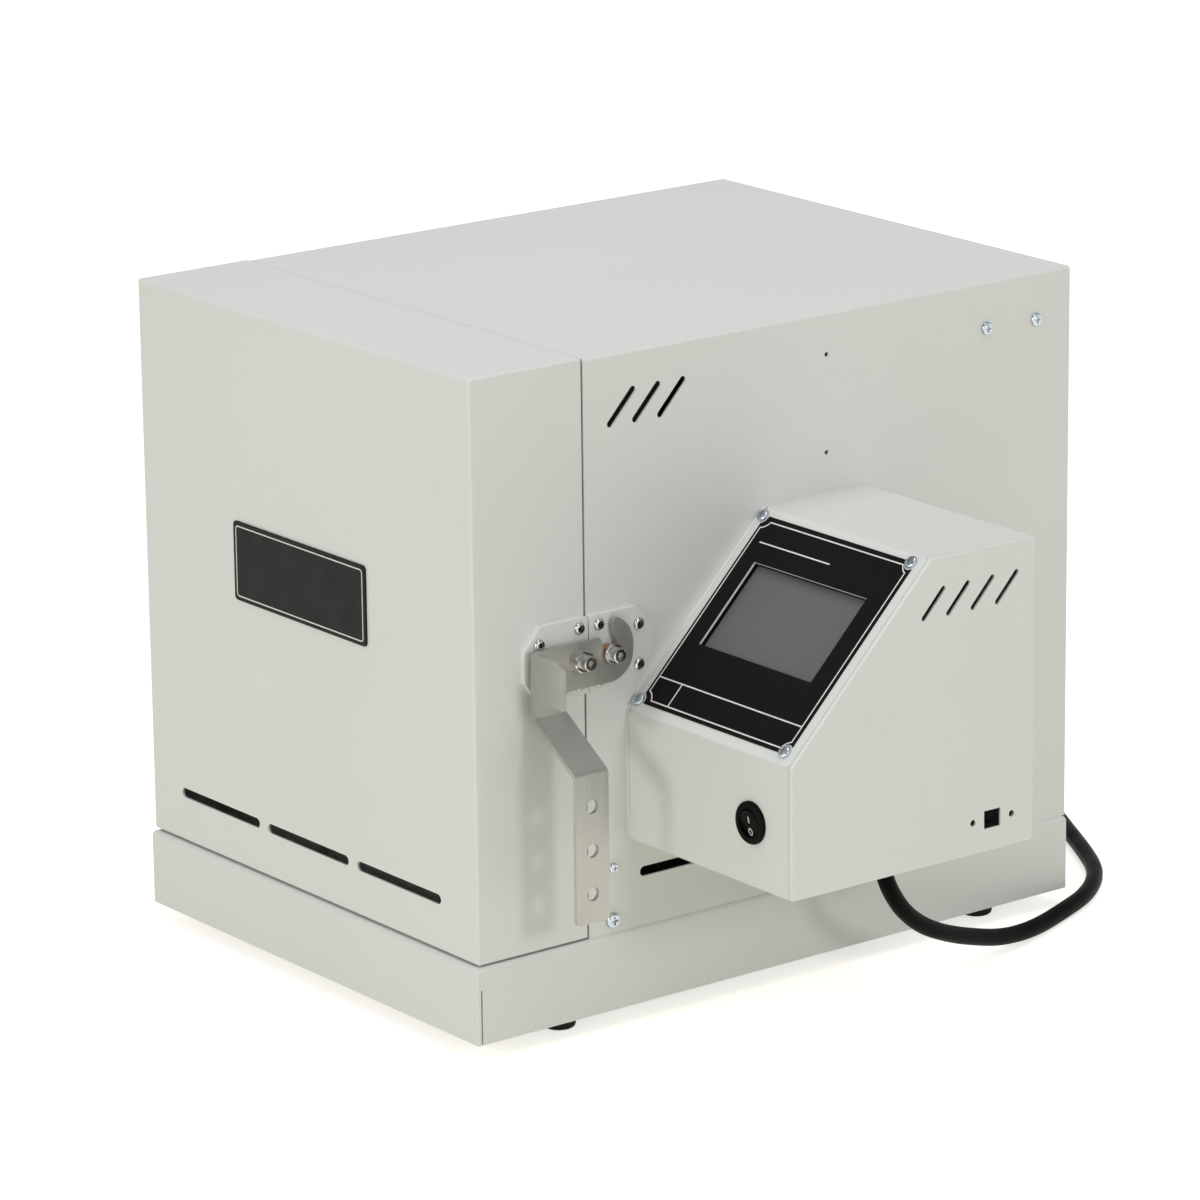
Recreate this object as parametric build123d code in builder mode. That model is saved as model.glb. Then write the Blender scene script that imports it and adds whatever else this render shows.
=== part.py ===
from build123d import *
import os
from math import atan2, cos, degrees, pi, radians, sin, sqrt, tan

# Bench heat treat oven, in millimetres. +Z is up, the door faces -Y and the latch and control box
# are on the +X side. The origin is on the bench, under the middle of the oven without its cord.

# Sheet metal
sheet = 1.5
bend_radius = 2.0
slip = 0.3

# Chamber and refractory lining
chamber_width = 203.2
chamber_height = 127.0
chamber_depth = 228.6
brick = 63.5
bricks_across = 3
side_insulation = 8.4
bottom_insulation = 50.0
top_insulation = 38.0
top_air = 17.5
rear_insulation = 25.0
rear_space = 65.9
board_inset = 15.0

# Door
door_gap = 1.5
door_insulation = 17.5
door_lift = 1.2
door_proud = 0.5
door_brick_width = 279.4
door_brick_height = 203.2

# Base and feet
base_height = 48.5
base_lip = 2.5
base_flange = 14.0
base_edge_radius = 3.0
base_corner_slit = 1.0
base_slit_height = 35.0
foot_height = 11.5
foot_radius = 10.0
foot_top_radius = 11.5
foot_edge_radius = 2.5
foot_inset_side = 21.8
foot_inset_front = 76.5
foot_inset_back = 56.0

# Latch keeper on the body and mounting plate on the door, one octagon split at the seam
plate_thickness = 4.0
plate_reach = 48.7
plate_height = 48.0
plate_corner_run = 12.5
plate_corner_rise = 14.4
plate_split = 0.6
latch_height = 181.6
plate_screw_near = 7.4
plate_screw_far = 37.5
plate_screw_rise_near = 17.6
plate_screw_rise_far = 12.7

# Latch lever, pivot and striker
lever_sheet = 2.8
lever_clearance = 2.5
pivot_before_seam = 10.7
striker_from_pivot = 24.2
striker_radius = 4.75
striker_clearance = 0.3
lever_top = 10.5
lever_bottom = 18.4
lever_front = 35.5
tab_reach = 30.0
tab_corner = 6.5
leg_width = 24.6
leg_front = 34.6
leg_drop = 31.6
slope_out = 40.6
slope_drop = 26.8
grip_length = 92.1
grip_hole_radius = 4.35
grip_hole_first = 19.2
grip_hole_pitch = 27.3
finger_top = 21.2
finger_edge = 26.2
finger_outer_radius = 17.5
collar_radius = 7.0
collar_height = 6.0
bolt_radius = 3.0
bolt_head_radius = 4.6
bolt_head_height = 6.0
bolt_socket = 4.2
knurl_count = 32
washer_radius = 6.2
washer_height = 1.5
running_clearance = 0.05
thread_clearance = 0.1
lever_travel = 65.0

# Hinges on the left side
hinge_pin_radius = 2.5
hinge_barrel_radius = 5.0
hinge_barrel_gap = 0.5
hinge_leaf = 2.5
hinge_leaf_width = 34.0
hinge_height = 60.0
hinge_end_inset = 62.0
hinge_screw_out = 22.0
hinge_screw_pitch = 20.0

# Control box on the right side
box_reach = 157.5
box_from_seam = 30.0
box_bottom = 58.3
box_front_height = 82.4
box_slope_run = 107.0
box_slope_rise = 108.3
box_top_depth = 82.0
box_rim = 2.4
box_lap = 16.0
box_seam = 0.3
box_screw_inset = 20.0
relief_radius = 1.1

# Panel on the sloping face
label_start = 7.6
label_end_inset = 9.5
label_low = 7.0
label_high = 147.0
label_thickness = 0.5
label_notch = 5.4
panel_screw_left = 5.7
panel_screw_right_inset = 12.9
panel_screw_low = 8.4
panel_screw_high = 146.3
window_left = 23.0
window_right_inset = 28.2
window_low = 54.5
window_high = 116.0
window_frame = 4.0
screen_recess = 2.8
screen_glass = 1.2
module_depth = 11.0

# Power switch
switch_inset = 37.2
switch_up = 40.4
switch_bezel_radius = 13.2
switch_bezel_height = 2.6
switch_barrel_radius = 10.0
switch_barrel_length = 19.0
rocker_radius = 8.6
rocker_tilt = 12.0

# Connector cut-out on the outer face of the control box
port_from_front = 156.2
port_up = 20.0
port_width = 13.1
port_height = 11.5
port_hole_pitch = 30.7
port_hole_radius = 2.1

# Vents
slot_length = 87.0
slot_height = 6.4
slot_pitch = 96.3
slot_count = 3
front_slot_shift = -1.6
front_slot_up = 32.3
side_slot_up = 34.8
side_slot_start = 39.4
slant_width = 4.4
slant_run = 17.4
slant_rise = 18.6
slant_pitch = 19.05
slant_start = 20.0
slant_below_top = 42.8
box_slant_width = 3.4
box_slant_run = 15.1
box_slant_rise = 15.9
box_slant_pitch = 19.15
box_slant_from_front = 101.4
box_slant_below_top = 35.5

# Screws: head radius, head height, shank radius
pan_large = (4.9, 3.0, 2.4)
pan_medium = (4.2, 2.4, 2.0)
pan_small = (3.2, 2.1, 1.5)
button = (3.8, 2.3, 2.0)
accessory_hole_radius = 1.5
accessory_hole_pitch = 61.8
side_screw_low = (17.5, 8.7)
side_screw_switch = (18.6, 42.0)
side_screw_rear = ((69.6, 29.5), (28.7, 30.0))
accessory_from_back = 198.6
accessory_below_top = 26.2

# Heating elements and thermocouple
element_diameter = 7.4
element_rows = 4
element_pitch = 28.0
element_inset = 22.0
element_depth = 3.4
element_tail = 12.0
sheath_radius = 3.0
sheath_reach = 25.0

# Badge
badge_width = 140.7
badge_height = 51.0
badge_thickness = 1.2
badge_corner = 3.0
badge_up = 200.8
badge_shift = -2.9

# Mains cord
cord_diameter = 11.0
gland_across = 80.0
gland_from_front = 133.0
gland_length = 14.0

# Places worked out from the sizes
hinge_reach = hinge_barrel_gap + 2 * hinge_barrel_radius
cabinet_width = chamber_width + 2 * (brick + side_insulation + sheet)
cabinet_height = 2 * sheet + bottom_insulation + 2 * brick + chamber_height + top_insulation + top_air
door_depth = sheet + door_insulation + brick
body_depth = 2 * sheet + chamber_depth + brick + rear_insulation + rear_space
label_end = box_reach - label_end_inset
panel_screw_right = box_reach - panel_screw_right_inset
window_right = box_reach - window_right_inset
switch_across = box_reach - switch_inset
overall_width = hinge_reach + cabinet_width + box_reach
left_x = hinge_reach - overall_width / 2
right_x = left_x + cabinet_width
mid_x = (left_x + right_x) / 2
box_out_x = right_x + box_reach
front_y = -(door_depth + door_gap + body_depth) / 2
seam_y = front_y + door_depth
body_y = seam_y + door_gap
back_y = body_y + body_depth
base_z = foot_height
body_z = base_z + base_height
top_z = body_z + cabinet_height
door_z = body_z + door_lift
door_top_z = top_z + door_proud
hearth_z = body_z + sheet + bottom_insulation + brick
chamber_z = hearth_z + chamber_height / 2
roof_z = hearth_z + chamber_height
brick_y = body_y + sheet
chamber_back_y = brick_y + chamber_depth
brick_back_y = chamber_back_y + brick
stack_half = chamber_width / 2 + brick
latch_z = body_z + latch_height
seam_mid_y = seam_y + door_gap / 2
pivot_y = seam_y - pivot_before_seam
lever_x = right_x + plate_thickness + lever_clearance
box_front_y = body_y + box_from_seam
box_z = body_z + box_bottom
slope_z = box_z + box_front_height
slope_top_z = slope_z + box_slope_rise
slope_back_y = box_front_y + box_slope_run
box_back_y = slope_back_y + box_top_depth
slope_length = sqrt(box_slope_run**2 + box_slope_rise**2)
slope_angle = degrees(atan2(box_slope_rise, box_slope_run))

# Planes that face out of each side
right_face = Plane((right_x, 0, 0), x_dir=(0, 1, 0), z_dir=(1, 0, 0))
left_face = Plane((left_x, 0, 0), x_dir=(0, -1, 0), z_dir=(-1, 0, 0))
front_face = Plane((mid_x, front_y, 0), x_dir=(1, 0, 0), z_dir=(0, -1, 0))
rear_face = Plane((mid_x, back_y, 0), x_dir=(-1, 0, 0), z_dir=(0, 1, 0))
box_side_face = Plane((box_out_x, 0, 0), x_dir=(0, 1, 0), z_dir=(1, 0, 0))
box_front_face = Plane((right_x, box_front_y, box_z), x_dir=(1, 0, 0), z_dir=(0, -1, 0))
slope_face = Plane(
    (right_x, box_front_y, slope_z),
    x_dir=(1, 0, 0),
    z_dir=(0, -sin(radians(slope_angle)), cos(radians(slope_angle))),
)
LOW = (Align.CENTER, Align.CENTER, Align.MIN)
HIGH = (Align.CENTER, Align.CENTER, Align.MAX)
CORNER = (Align.MIN, Align.MIN, Align.MIN)

os.makedirs("parts", exist_ok=True)


def keep(part, name):
    """Label a finished piece and write it as its own STEP file."""
    part.label = name
    export_step(part, f"parts/{name}.step")


def span(low, high):
    """A box part from its low corner to its high corner."""
    with BuildPart() as block:
        with Locations(low):
            Box(high[0] - low[0], high[1] - low[1], high[2] - low[2], align=CORNER)
    return block.part


def pan_screw(size, length):
    """Pan head screw with a cross recess, seated at z = 0 with its head up."""
    head_radius, head_height, shank_radius = size
    with BuildPart() as screw:
        Cylinder(head_radius, head_height, align=LOW)
        fillet(screw.edges().sort_by(Axis.Z)[-1], head_height * 0.6)
        Cylinder(shank_radius, length, align=HIGH)
        with BuildSketch(Plane.XY.offset(head_height)):
            Rectangle(head_radius * 1.1, head_radius * 0.3)
            Rectangle(head_radius * 0.3, head_radius * 1.1)
        extrude(amount=-head_height * 0.55, mode=Mode.SUBTRACT)
    return screw.part


def button_screw(size, length):
    """Button head screw with a hexagon socket, seated at z = 0 with its head up."""
    head_radius, head_height, shank_radius = size
    with BuildPart() as screw:
        Cylinder(head_radius, head_height, align=LOW)
        fillet(screw.edges().sort_by(Axis.Z)[-1], head_height * 0.75)
        Cylinder(shank_radius, length, align=HIGH)
        with BuildSketch(Plane.XY.offset(head_height)):
            RegularPolygon(shank_radius * 0.75, 6)
        extrude(amount=-head_height * 0.6, mode=Mode.SUBTRACT)
    return screw.part


def socket_bolt(length):
    """Cap screw with a knurled head and a hexagon socket, seated at z = 0 with its head up."""
    with BuildPart() as bolt:
        Cylinder(bolt_head_radius, bolt_head_height, align=LOW)
        chamfer(bolt.edges().sort_by(Axis.Z)[-1], bolt_head_radius * 0.12)
        with BuildSketch(Plane.XY.offset(bolt_head_height * 0.15)):
            with PolarLocations(bolt_head_radius, knurl_count):
                RegularPolygon(bolt_head_radius * 0.07, 4)
        extrude(amount=bolt_head_height * 0.65, mode=Mode.SUBTRACT)
        Cylinder(bolt_radius, length, align=HIGH)
        with BuildSketch(Plane.XY.offset(bolt_head_height)):
            RegularPolygon(bolt_socket / 2, 6, major_radius=False)
        extrude(amount=-bolt_head_height * 0.55, mode=Mode.SUBTRACT)
    return bolt.part


def on_plane(plane, places):
    """Locations of places given on a plane."""
    return Locations(*[plane.location * Pos(*place) for place in places])


def drill(plane, places, radius, depth):
    """Cut round holes through the face that a plane lies on."""
    with on_plane(plane, places):
        Cylinder(radius, 2 * depth, mode=Mode.SUBTRACT)


def fasteners(name, groups):
    """One node of screws: each group is a screw, the plane it is driven into and its places."""
    with BuildPart() as group:
        for screw, plane, places in groups:
            with on_plane(plane, places):
                add(screw)
    keep(group.part, name)


def slanted_slots(first, pitch, count, run, rise, width):
    """Centres, length and angle of a row of leaning slots."""
    places = [(first + i * pitch + run / 2, rise / 2) for i in range(count)]
    return places, sqrt(run**2 + rise**2) + width, degrees(atan2(rise, run))


def box_profile(x, inset):
    """Outline of the control box on a plane across X, moved inwards by inset."""
    with BuildSketch(Plane.YZ.offset(x)) as profile:
        with BuildLine():
            Polyline(
                (box_front_y, box_z),
                (box_front_y, slope_z),
                (slope_back_y, slope_top_z),
                (box_back_y, slope_top_z),
                (box_back_y, box_z),
                close=True,
            )
        make_face()
        fillet(profile.vertices(), bend_radius)
        if inset > 0:
            offset(amount=-inset)
    return profile.sketch


def box_ring(x, depth, outer, inner):
    """A band that follows the control box's outline between two insets."""
    with BuildPart() as band:
        extrude(box_profile(x, outer), amount=depth)
        extrude(box_profile(x, inner), amount=depth, mode=Mode.SUBTRACT)
    return band.part


def element_route(side, section):
    """Sweep a section along the up-and-back route of one heating element."""
    x = mid_x + side * (chamber_width / 2 + element_depth)
    front = brick_y + element_inset + element_pitch / 2
    back = chamber_back_y - element_inset
    end = brick_back_y + rear_insulation + element_tail
    rows = [chamber_z + (i - (element_rows - 1) / 2) * element_pitch for i in range(element_rows)]
    with BuildPart() as rod:
        with BuildLine() as route:
            for i, z in enumerate(rows):
                forward = i % 2 == 0
                start = end if i == 0 else (back if forward else front)
                stop = end if i == element_rows - 1 else (front if forward else back)
                Line((x, start, z), (x, stop, z))
                if i < element_rows - 1:
                    bulge = -element_pitch / 2 if forward else element_pitch / 2
                    middle = (x, stop + bulge, z + element_pitch / 2)
                    ThreePointArc((x, stop, z), middle, (x, stop, z + element_pitch))
        with BuildSketch(Plane((x, end, rows[0]), x_dir=(1, 0, 0), z_dir=(0, -1, 0))):
            add(section)
        sweep(path=route.line)
    return rod.part


def slot_row(first, height):
    """Places of a row of long vents whose first centre is given."""
    return [(first + i * slot_pitch, height) for i in range(slot_count)]


# Places shared by pieces that are screwed or bolted together, as (along, up) on their faces
keeper_places = [
    (seam_mid_y + out, latch_z + side * rise)
    for side in (-1, 1)
    for out, rise in (
        (plate_screw_near, plate_screw_rise_near),
        (plate_screw_far, plate_screw_rise_far),
    )
]
latch_plate_places = [(2 * seam_mid_y - y, z) for y, z in keeper_places]
striker_place = (pivot_y + striker_from_pivot, latch_z)
pivot_place = (pivot_y, latch_z)
side_low_places = [(body_y + side_screw_low[0], body_z + side_screw_low[1])]
side_switch_places = [(body_y + side_screw_switch[0], body_z + side_screw_switch[1])]
side_rear_places = [(back_y - back, top_z - below) for back, below in side_screw_rear]
accessory_places = [
    (back_y - accessory_from_back, top_z - accessory_below_top - i * accessory_hole_pitch)
    for i in (0, 1)
]
box_mount_places = [
    (box_front_y + box_screw_inset, box_z + box_screw_inset),
    (box_front_y + box_screw_inset, slope_z - box_screw_inset),
    (box_back_y - box_screw_inset, box_z + box_screw_inset),
    (box_back_y - box_screw_inset, slope_top_z - box_screw_inset),
]
grommet_radius = 8.9
grommet_place = (box_back_y - 1.6 * box_screw_inset, box_z + 2.2 * box_screw_inset)
panel_places = [
    (across, up)
    for across in (panel_screw_left, panel_screw_right)
    for up in (panel_screw_low, panel_screw_high)
]
hinge_heights = [door_z + hinge_end_inset, door_top_z - hinge_end_inset]
hinge_x = left_x - hinge_barrel_gap - hinge_barrel_radius
hinge_y = seam_mid_y
hinge_door_places = [
    (-(hinge_y - hinge_screw_out), z + i * hinge_screw_pitch) for z in hinge_heights for i in (-1, 0, 1)
]
hinge_body_places = [
    (-(hinge_y + hinge_screw_out), z + i * hinge_screw_pitch) for z in hinge_heights for i in (-1, 0, 1)
]
back_screw_inset = 7.0
back_screw_places = [
    (side * (cabinet_width / 2 - back_screw_inset), body_z + share * cabinet_height)
    for side in (-1, 1)
    for share in (0.12, 0.5, 0.88)
]
foot_places = [
    (mid_x + side * (cabinet_width / 2 - foot_inset_side), y)
    for side in (-1, 1)
    for y in (front_y + foot_inset_front, back_y - foot_inset_back)
]
left_low_places = [(-y, z) for y, z in side_low_places]
left_rear_places = [(-y, z) for y, z in side_rear_places]
foot_spots = [(x, -y) for x, y in foot_places]


# Base: a pan with an inward flange on top, and its feet. It stands out in front and on the right
base_width = cabinet_width + base_lip
base_depth = back_y - front_y + base_lip
base_mid_x = mid_x + base_lip / 2
base_mid_y = (front_y + back_y - base_lip) / 2
with BuildPart() as base:
    with Locations((base_mid_x, base_mid_y, base_z)):
        Box(base_width, base_depth, base_height, align=LOW)
    fillet(base.edges().filter_by(Axis.Z), bend_radius / 2)
    fillet(base.faces().sort_by(Axis.Z)[-1].edges(), base_edge_radius)
    with Locations((base_mid_x, base_mid_y, base_z + sheet)):
        Box(
            base_width - 2 * sheet,
            base_depth - 2 * sheet,
            base_height - sheet - base_edge_radius,
            align=LOW,
            mode=Mode.SUBTRACT,
        )
    with Locations((base_mid_x, base_mid_y, base_z + 2 * sheet)):
        Box(
            base_width - 2 * base_flange,
            base_depth - 2 * base_flange,
            base_height,
            align=LOW,
            mode=Mode.SUBTRACT,
        )
    with Locations((mid_x, front_y - base_lip + 2 * sheet, base_z)):
        Box(
            cabinet_width + 4 * base_lip,
            base_corner_slit,
            base_slit_height,
            align=LOW,
            mode=Mode.SUBTRACT,
        )
    drill(Plane.XY.offset(base_z + sheet), foot_places, pan_small[2] + thread_clearance, 2 * sheet)
    with BuildSketch(Plane.XY.offset(base_z)):
        with Locations((mid_x, 0)):
            with GridLocations(slot_pitch, slot_pitch, slot_count, slot_count):
                SlotOverall(slot_length * 0.6, slot_height)
    extrude(amount=sheet, mode=Mode.SUBTRACT)
keep(base.part, "base_pan")

foot_recess = foot_height * 0.55
with BuildPart() as feet:
    feet_locations = Locations(*[(x, y, 0) for x, y in foot_places])
    with feet_locations:
        Cone(foot_radius, foot_top_radius, foot_height, align=LOW)
    fillet(feet.edges().filter_by(GeomType.CIRCLE).group_by(Axis.Z)[0], foot_edge_radius)
    with feet_locations:
        Cylinder(pan_small[2] + thread_clearance, 3 * foot_height, mode=Mode.SUBTRACT)
        Cylinder(pan_small[0] + slip, foot_recess, align=LOW, mode=Mode.SUBTRACT)
keep(feet.part, "rubber_feet")

foot_seat = Plane((0, 0, foot_recess), x_dir=(1, 0, 0), z_dir=(0, 0, -1))


# Cabinet body: wrap, floor, front frame and rear panel
wrap_flange = 14.0
wrap_end_y = back_y - sheet
with BuildPart() as cabinet_wrap:
    with Locations((mid_x, (body_y + wrap_end_y) / 2, body_z)):
        Box(cabinet_width, wrap_end_y - body_y, cabinet_height, align=LOW)
    fillet(cabinet_wrap.edges().filter_by(Axis.Y).group_by(Axis.Z)[-1], bend_radius)
    add(
        span(
            (left_x + sheet, body_y, body_z),
            (right_x - sheet, wrap_end_y - sheet, top_z - sheet),
        ),
        mode=Mode.SUBTRACT,
    )
    add(
        span(
            (left_x + wrap_flange, body_y, body_z),
            (right_x - wrap_flange, wrap_end_y, top_z - wrap_flange),
        ),
        mode=Mode.SUBTRACT,
    )
    places, length, angle = slanted_slots(
        body_y + slant_start, slant_pitch, 3, slant_run, slant_rise, slant_width
    )
    with BuildSketch(right_face):
        with Locations(*[(y, top_z - slant_below_top + z) for y, z in places]):
            SlotOverall(length, slant_width, rotation=angle)
        with Locations(*slot_row(body_y + side_slot_start + slot_length / 2, body_z + side_slot_up)):
            SlotOverall(slot_length, slot_height)
    extrude(amount=-2 * cabinet_width, mode=Mode.SUBTRACT)
    drill(right_face, accessory_places, accessory_hole_radius, 2 * sheet)
    drill(right_face, keeper_places, button[2] + thread_clearance, 2 * sheet)
    drill(right_face, [striker_place], bolt_radius + thread_clearance, 2 * sheet)
    drill(right_face, side_low_places, pan_large[2] + thread_clearance, 2 * sheet)
    drill(right_face, side_switch_places, pan_small[2] + thread_clearance, 2 * sheet)
    drill(right_face, side_rear_places, pan_medium[2] + thread_clearance, 2 * sheet)
    drill(right_face, box_mount_places, pan_medium[2] + thread_clearance, 2 * sheet)
    drill(right_face, [grommet_place], grommet_radius + thread_clearance, 2 * sheet)
    drill(left_face, left_low_places, pan_large[2] + thread_clearance, 2 * sheet)
    drill(left_face, left_rear_places, pan_medium[2] + thread_clearance, 2 * sheet)
    drill(left_face, hinge_body_places, pan_medium[2] + thread_clearance, 2 * sheet)
    drill(rear_face, back_screw_places, pan_medium[2] + thread_clearance, 3 * sheet)
keep(cabinet_wrap.part, "cabinet_wrap")

floor_flange = 25.0
with BuildPart() as floor:
    add(span((left_x + sheet, body_y, body_z), (right_x - sheet, wrap_end_y - sheet, body_z + floor_flange)))
    add(
        span(
            (left_x + 2 * sheet, body_y, body_z + sheet),
            (right_x - 2 * sheet, wrap_end_y, body_z + 2 * floor_flange),
        ),
        mode=Mode.SUBTRACT,
    )
    drill(right_face, side_low_places, pan_large[2] + thread_clearance, 3 * sheet)
    drill(left_face, left_low_places, pan_large[2] + thread_clearance, 3 * sheet)
keep(floor.part, "cabinet_floor")

frame_lap = 10.0
stack_low = hearth_z - brick
stack_high = roof_z + brick
with BuildPart() as front_frame:
    add(
        span(
            (left_x + 2 * sheet, body_y, body_z + sheet),
            (right_x - 2 * sheet, brick_y, top_z - sheet),
        )
    )
    add(
        span(
            (mid_x - stack_half + frame_lap, body_y, stack_low + frame_lap),
            (mid_x + stack_half - frame_lap, brick_y, stack_high - frame_lap),
        ),
        mode=Mode.SUBTRACT,
    )
keep(front_frame.part, "front_frame")

rear_slot_rows = (0.15, 0.8)
with BuildPart() as rear_panel:
    add(span((left_x, wrap_end_y, body_z), (right_x, back_y, top_z)))
    fillet(rear_panel.edges().filter_by(Axis.Y).group_by(Axis.Z)[-1], bend_radius)
    with BuildSketch(rear_face):
        for share in rear_slot_rows:
            with Locations(*slot_row(-slot_pitch, body_z + share * cabinet_height)):
                SlotOverall(slot_length, slot_height)
    extrude(amount=-sheet, mode=Mode.SUBTRACT)
    drill(rear_face, back_screw_places, pan_medium[2] + thread_clearance, 2 * sheet)
keep(rear_panel.part, "rear_panel")

brace_drop = 16.0
brace_y = back_y - side_screw_rear[0][0] - brace_drop / 2
brace_end_y = back_y - side_screw_rear[1][0] + brace_drop / 2
brace_z = top_z - side_screw_rear[0][1] + brace_drop / 2
with BuildPart() as brace:
    add(span((left_x + sheet, brace_y, brace_z - brace_drop), (right_x - sheet, brace_end_y, brace_z)))
    add(
        span(
            (left_x + 2 * sheet, brace_y, brace_z - 2 * brace_drop),
            (right_x - 2 * sheet, brace_end_y, brace_z - sheet),
        ),
        mode=Mode.SUBTRACT,
    )
    drill(right_face, side_rear_places, pan_medium[2] + thread_clearance, 3 * sheet)
    drill(left_face, left_rear_places, pan_medium[2] + thread_clearance, 3 * sheet)
keep(brace.part, "rear_brace")

side_screw = pan_screw(pan_medium, 2 * sheet + 2)
large_screw = pan_screw(pan_large, 2 * sheet + 2)
small_screw = pan_screw(pan_small, sheet + 3)
# Refractory lining: hearth, roof, grooved sides and rear wall, with boards around them
brick_joint = 0.4
brick_edge = 0.8


def brick_course(low_z):
    """A course of bricks side by side over the whole stack."""
    width = (2 * stack_half - (bricks_across - 1) * brick_joint) / bricks_across
    with BuildPart() as course:
        with Locations((mid_x, (brick_y + brick_back_y) / 2, low_z)):
            with GridLocations(width + brick_joint, brick, bricks_across, 1):
                Box(width, brick_back_y - brick_y, brick, align=LOW)
        chamfer(course.edges().filter_by(Axis.Y), brick_edge)
    return course.part


keep(brick_course(hearth_z - brick), "hearth_bricks")
keep(brick_course(roof_z), "roof_bricks")

groove_width = element_diameter + 2 * slip
with BuildSketch() as groove_section:
    Rectangle(element_depth + element_diameter / 2 + slip, groove_width, align=(Align.MIN, Align.CENTER))
with BuildSketch() as coil_section:
    Circle(element_diameter / 2)
with BuildSketch() as tunnel_section:
    Circle(element_diameter / 2 + slip)

with BuildPart() as side_bricks:
    for side in (-1, 1):
        inner_x = mid_x + side * chamber_width / 2
        outer_x = mid_x + side * stack_half
        add(
            span(
                (min(inner_x, outer_x), brick_y, hearth_z),
                (max(inner_x, outer_x), brick_back_y, roof_z),
            )
        )
        groove = groove_section.sketch.moved(Location((-element_depth, 0)))
        add(element_route(side, groove if side > 0 else groove.mirror(Plane.YZ)), mode=Mode.SUBTRACT)
keep(side_bricks.part, "side_bricks")

with BuildPart() as elements:
    for side in (-1, 1):
        add(element_route(side, coil_section.sketch))
keep(elements.part, "heating_elements")

sheath_x = mid_x + chamber_width / 4
sheath_z = chamber_z + chamber_height / 4
sheath_plane = Plane((sheath_x, brick_back_y, sheath_z), x_dir=(1, 0, 0), z_dir=(0, 1, 0))
with BuildPart() as rear_brick:
    add(
        span(
            (mid_x - chamber_width / 2, chamber_back_y, hearth_z),
            (mid_x + chamber_width / 2, brick_back_y, roof_z),
        )
    )
    drill(sheath_plane, [(0, 0)], sheath_radius + slip, 2 * brick)
    for side in (-1, 1):
        add(element_route(side, tunnel_section.sketch), mode=Mode.SUBTRACT)
keep(rear_brick.part, "rear_brick")

tail_places = [
    (side * (chamber_width / 2 + element_depth), chamber_z + end * element_pitch * (element_rows - 1) / 2)
    for side in (-1, 1)
    for end in (-1, 1)
]
rear_board_y = brick_back_y + rear_insulation
tail_plane = Plane((mid_x, rear_board_y, 0), x_dir=(1, 0, 0), z_dir=(0, 1, 0))
tail_spots = [(across, -up) for across, up in tail_places]
with BuildPart() as rear_board:
    add(
        span(
            (mid_x - stack_half, brick_back_y, stack_low),
            (mid_x + stack_half, rear_board_y, stack_high),
        )
    )
    drill(tail_plane, tail_spots, element_diameter / 2 + slip, 2 * rear_insulation)
    drill(sheath_plane, [(0, 0)], sheath_radius + slip, 2 * rear_insulation)
keep(rear_board.part, "rear_insulation")

board_half = stack_half - board_inset
side_board_start = 45.0
with BuildPart() as boards:
    for low_z, thickness in ((body_z + sheet, bottom_insulation), (stack_high, top_insulation)):
        add(
            span(
                (mid_x - board_half, brick_y, low_z),
                (mid_x + board_half, brick_back_y, low_z + thickness),
            )
        )
    for low_x in (left_x + sheet, mid_x + stack_half):
        add(
            span(
                (low_x, brick_y + side_board_start, stack_low),
                (low_x + side_insulation, brick_back_y, stack_high),
            )
        )
keep(boards.part, "chamber_insulation")

bushing_radius = 7.0
bushing_length = 14.0
with BuildPart() as bushings:
    with on_plane(tail_plane, tail_spots):
        Cylinder(bushing_radius, bushing_length, align=LOW)
    with on_plane(tail_plane, tail_spots):
        Cylinder(element_diameter / 2 + slip, 3 * bushing_length, mode=Mode.SUBTRACT)
keep(bushings.part, "element_bushings")

head_radius = 11.0
head_length = 20.0
with BuildPart(Plane((sheath_x, rear_board_y, sheath_z), x_dir=(1, 0, 0), z_dir=(0, 1, 0))) as thermocouple:
    Cylinder(head_radius, head_length, align=LOW)
    fillet(thermocouple.edges().sort_by(Axis.Y)[-1], bend_radius)
    Cylinder(sheath_radius, sheath_reach + brick + rear_insulation, align=HIGH)
    fillet(thermocouple.faces().sort_by(Axis.Y)[0].edges(), sheath_radius * 0.9)
keep(thermocouple.part, "thermocouple")

# Latch keeper, striker and its turning bush on the body
def latch_plate(direction):
    """Half of the octagon that is split along the seam: 1 on the body, -1 on the door."""
    near = plate_split / 2
    straight = plate_reach - plate_corner_run
    low = plate_height / 2
    side = low - plate_corner_rise
    corners = [
        (near, low),
        (straight, low),
        (plate_reach, side),
        (plate_reach, -side),
        (straight, -low),
        (near, -low),
    ]
    with BuildPart() as plate:
        with BuildSketch(right_face):
            with BuildLine():
                Polyline(*[(seam_mid_y + direction * y, latch_z + z) for y, z in corners], close=True)
            make_face()
        extrude(amount=plate_thickness)
        fillet(plate.edges().filter_by(Axis.X), bend_radius)
        fillet(plate.faces().sort_by(Axis.X)[-1].edges(), plate_thickness * 0.12)
    return plate.part


plate_face = right_face.offset(plate_thickness)
with BuildPart() as keeper_plate:
    add(latch_plate(1))
    drill(plate_face, keeper_places, button[2] + thread_clearance, 2 * plate_thickness)
    drill(plate_face, [striker_place], bolt_radius + thread_clearance, 2 * plate_thickness)
keep(keeper_plate.part, "keeper_plate")

plate_screw = button_screw(button, plate_thickness + sheet + 2)
fasteners("keeper_screws", [(plate_screw, plate_face, keeper_places)])

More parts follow.
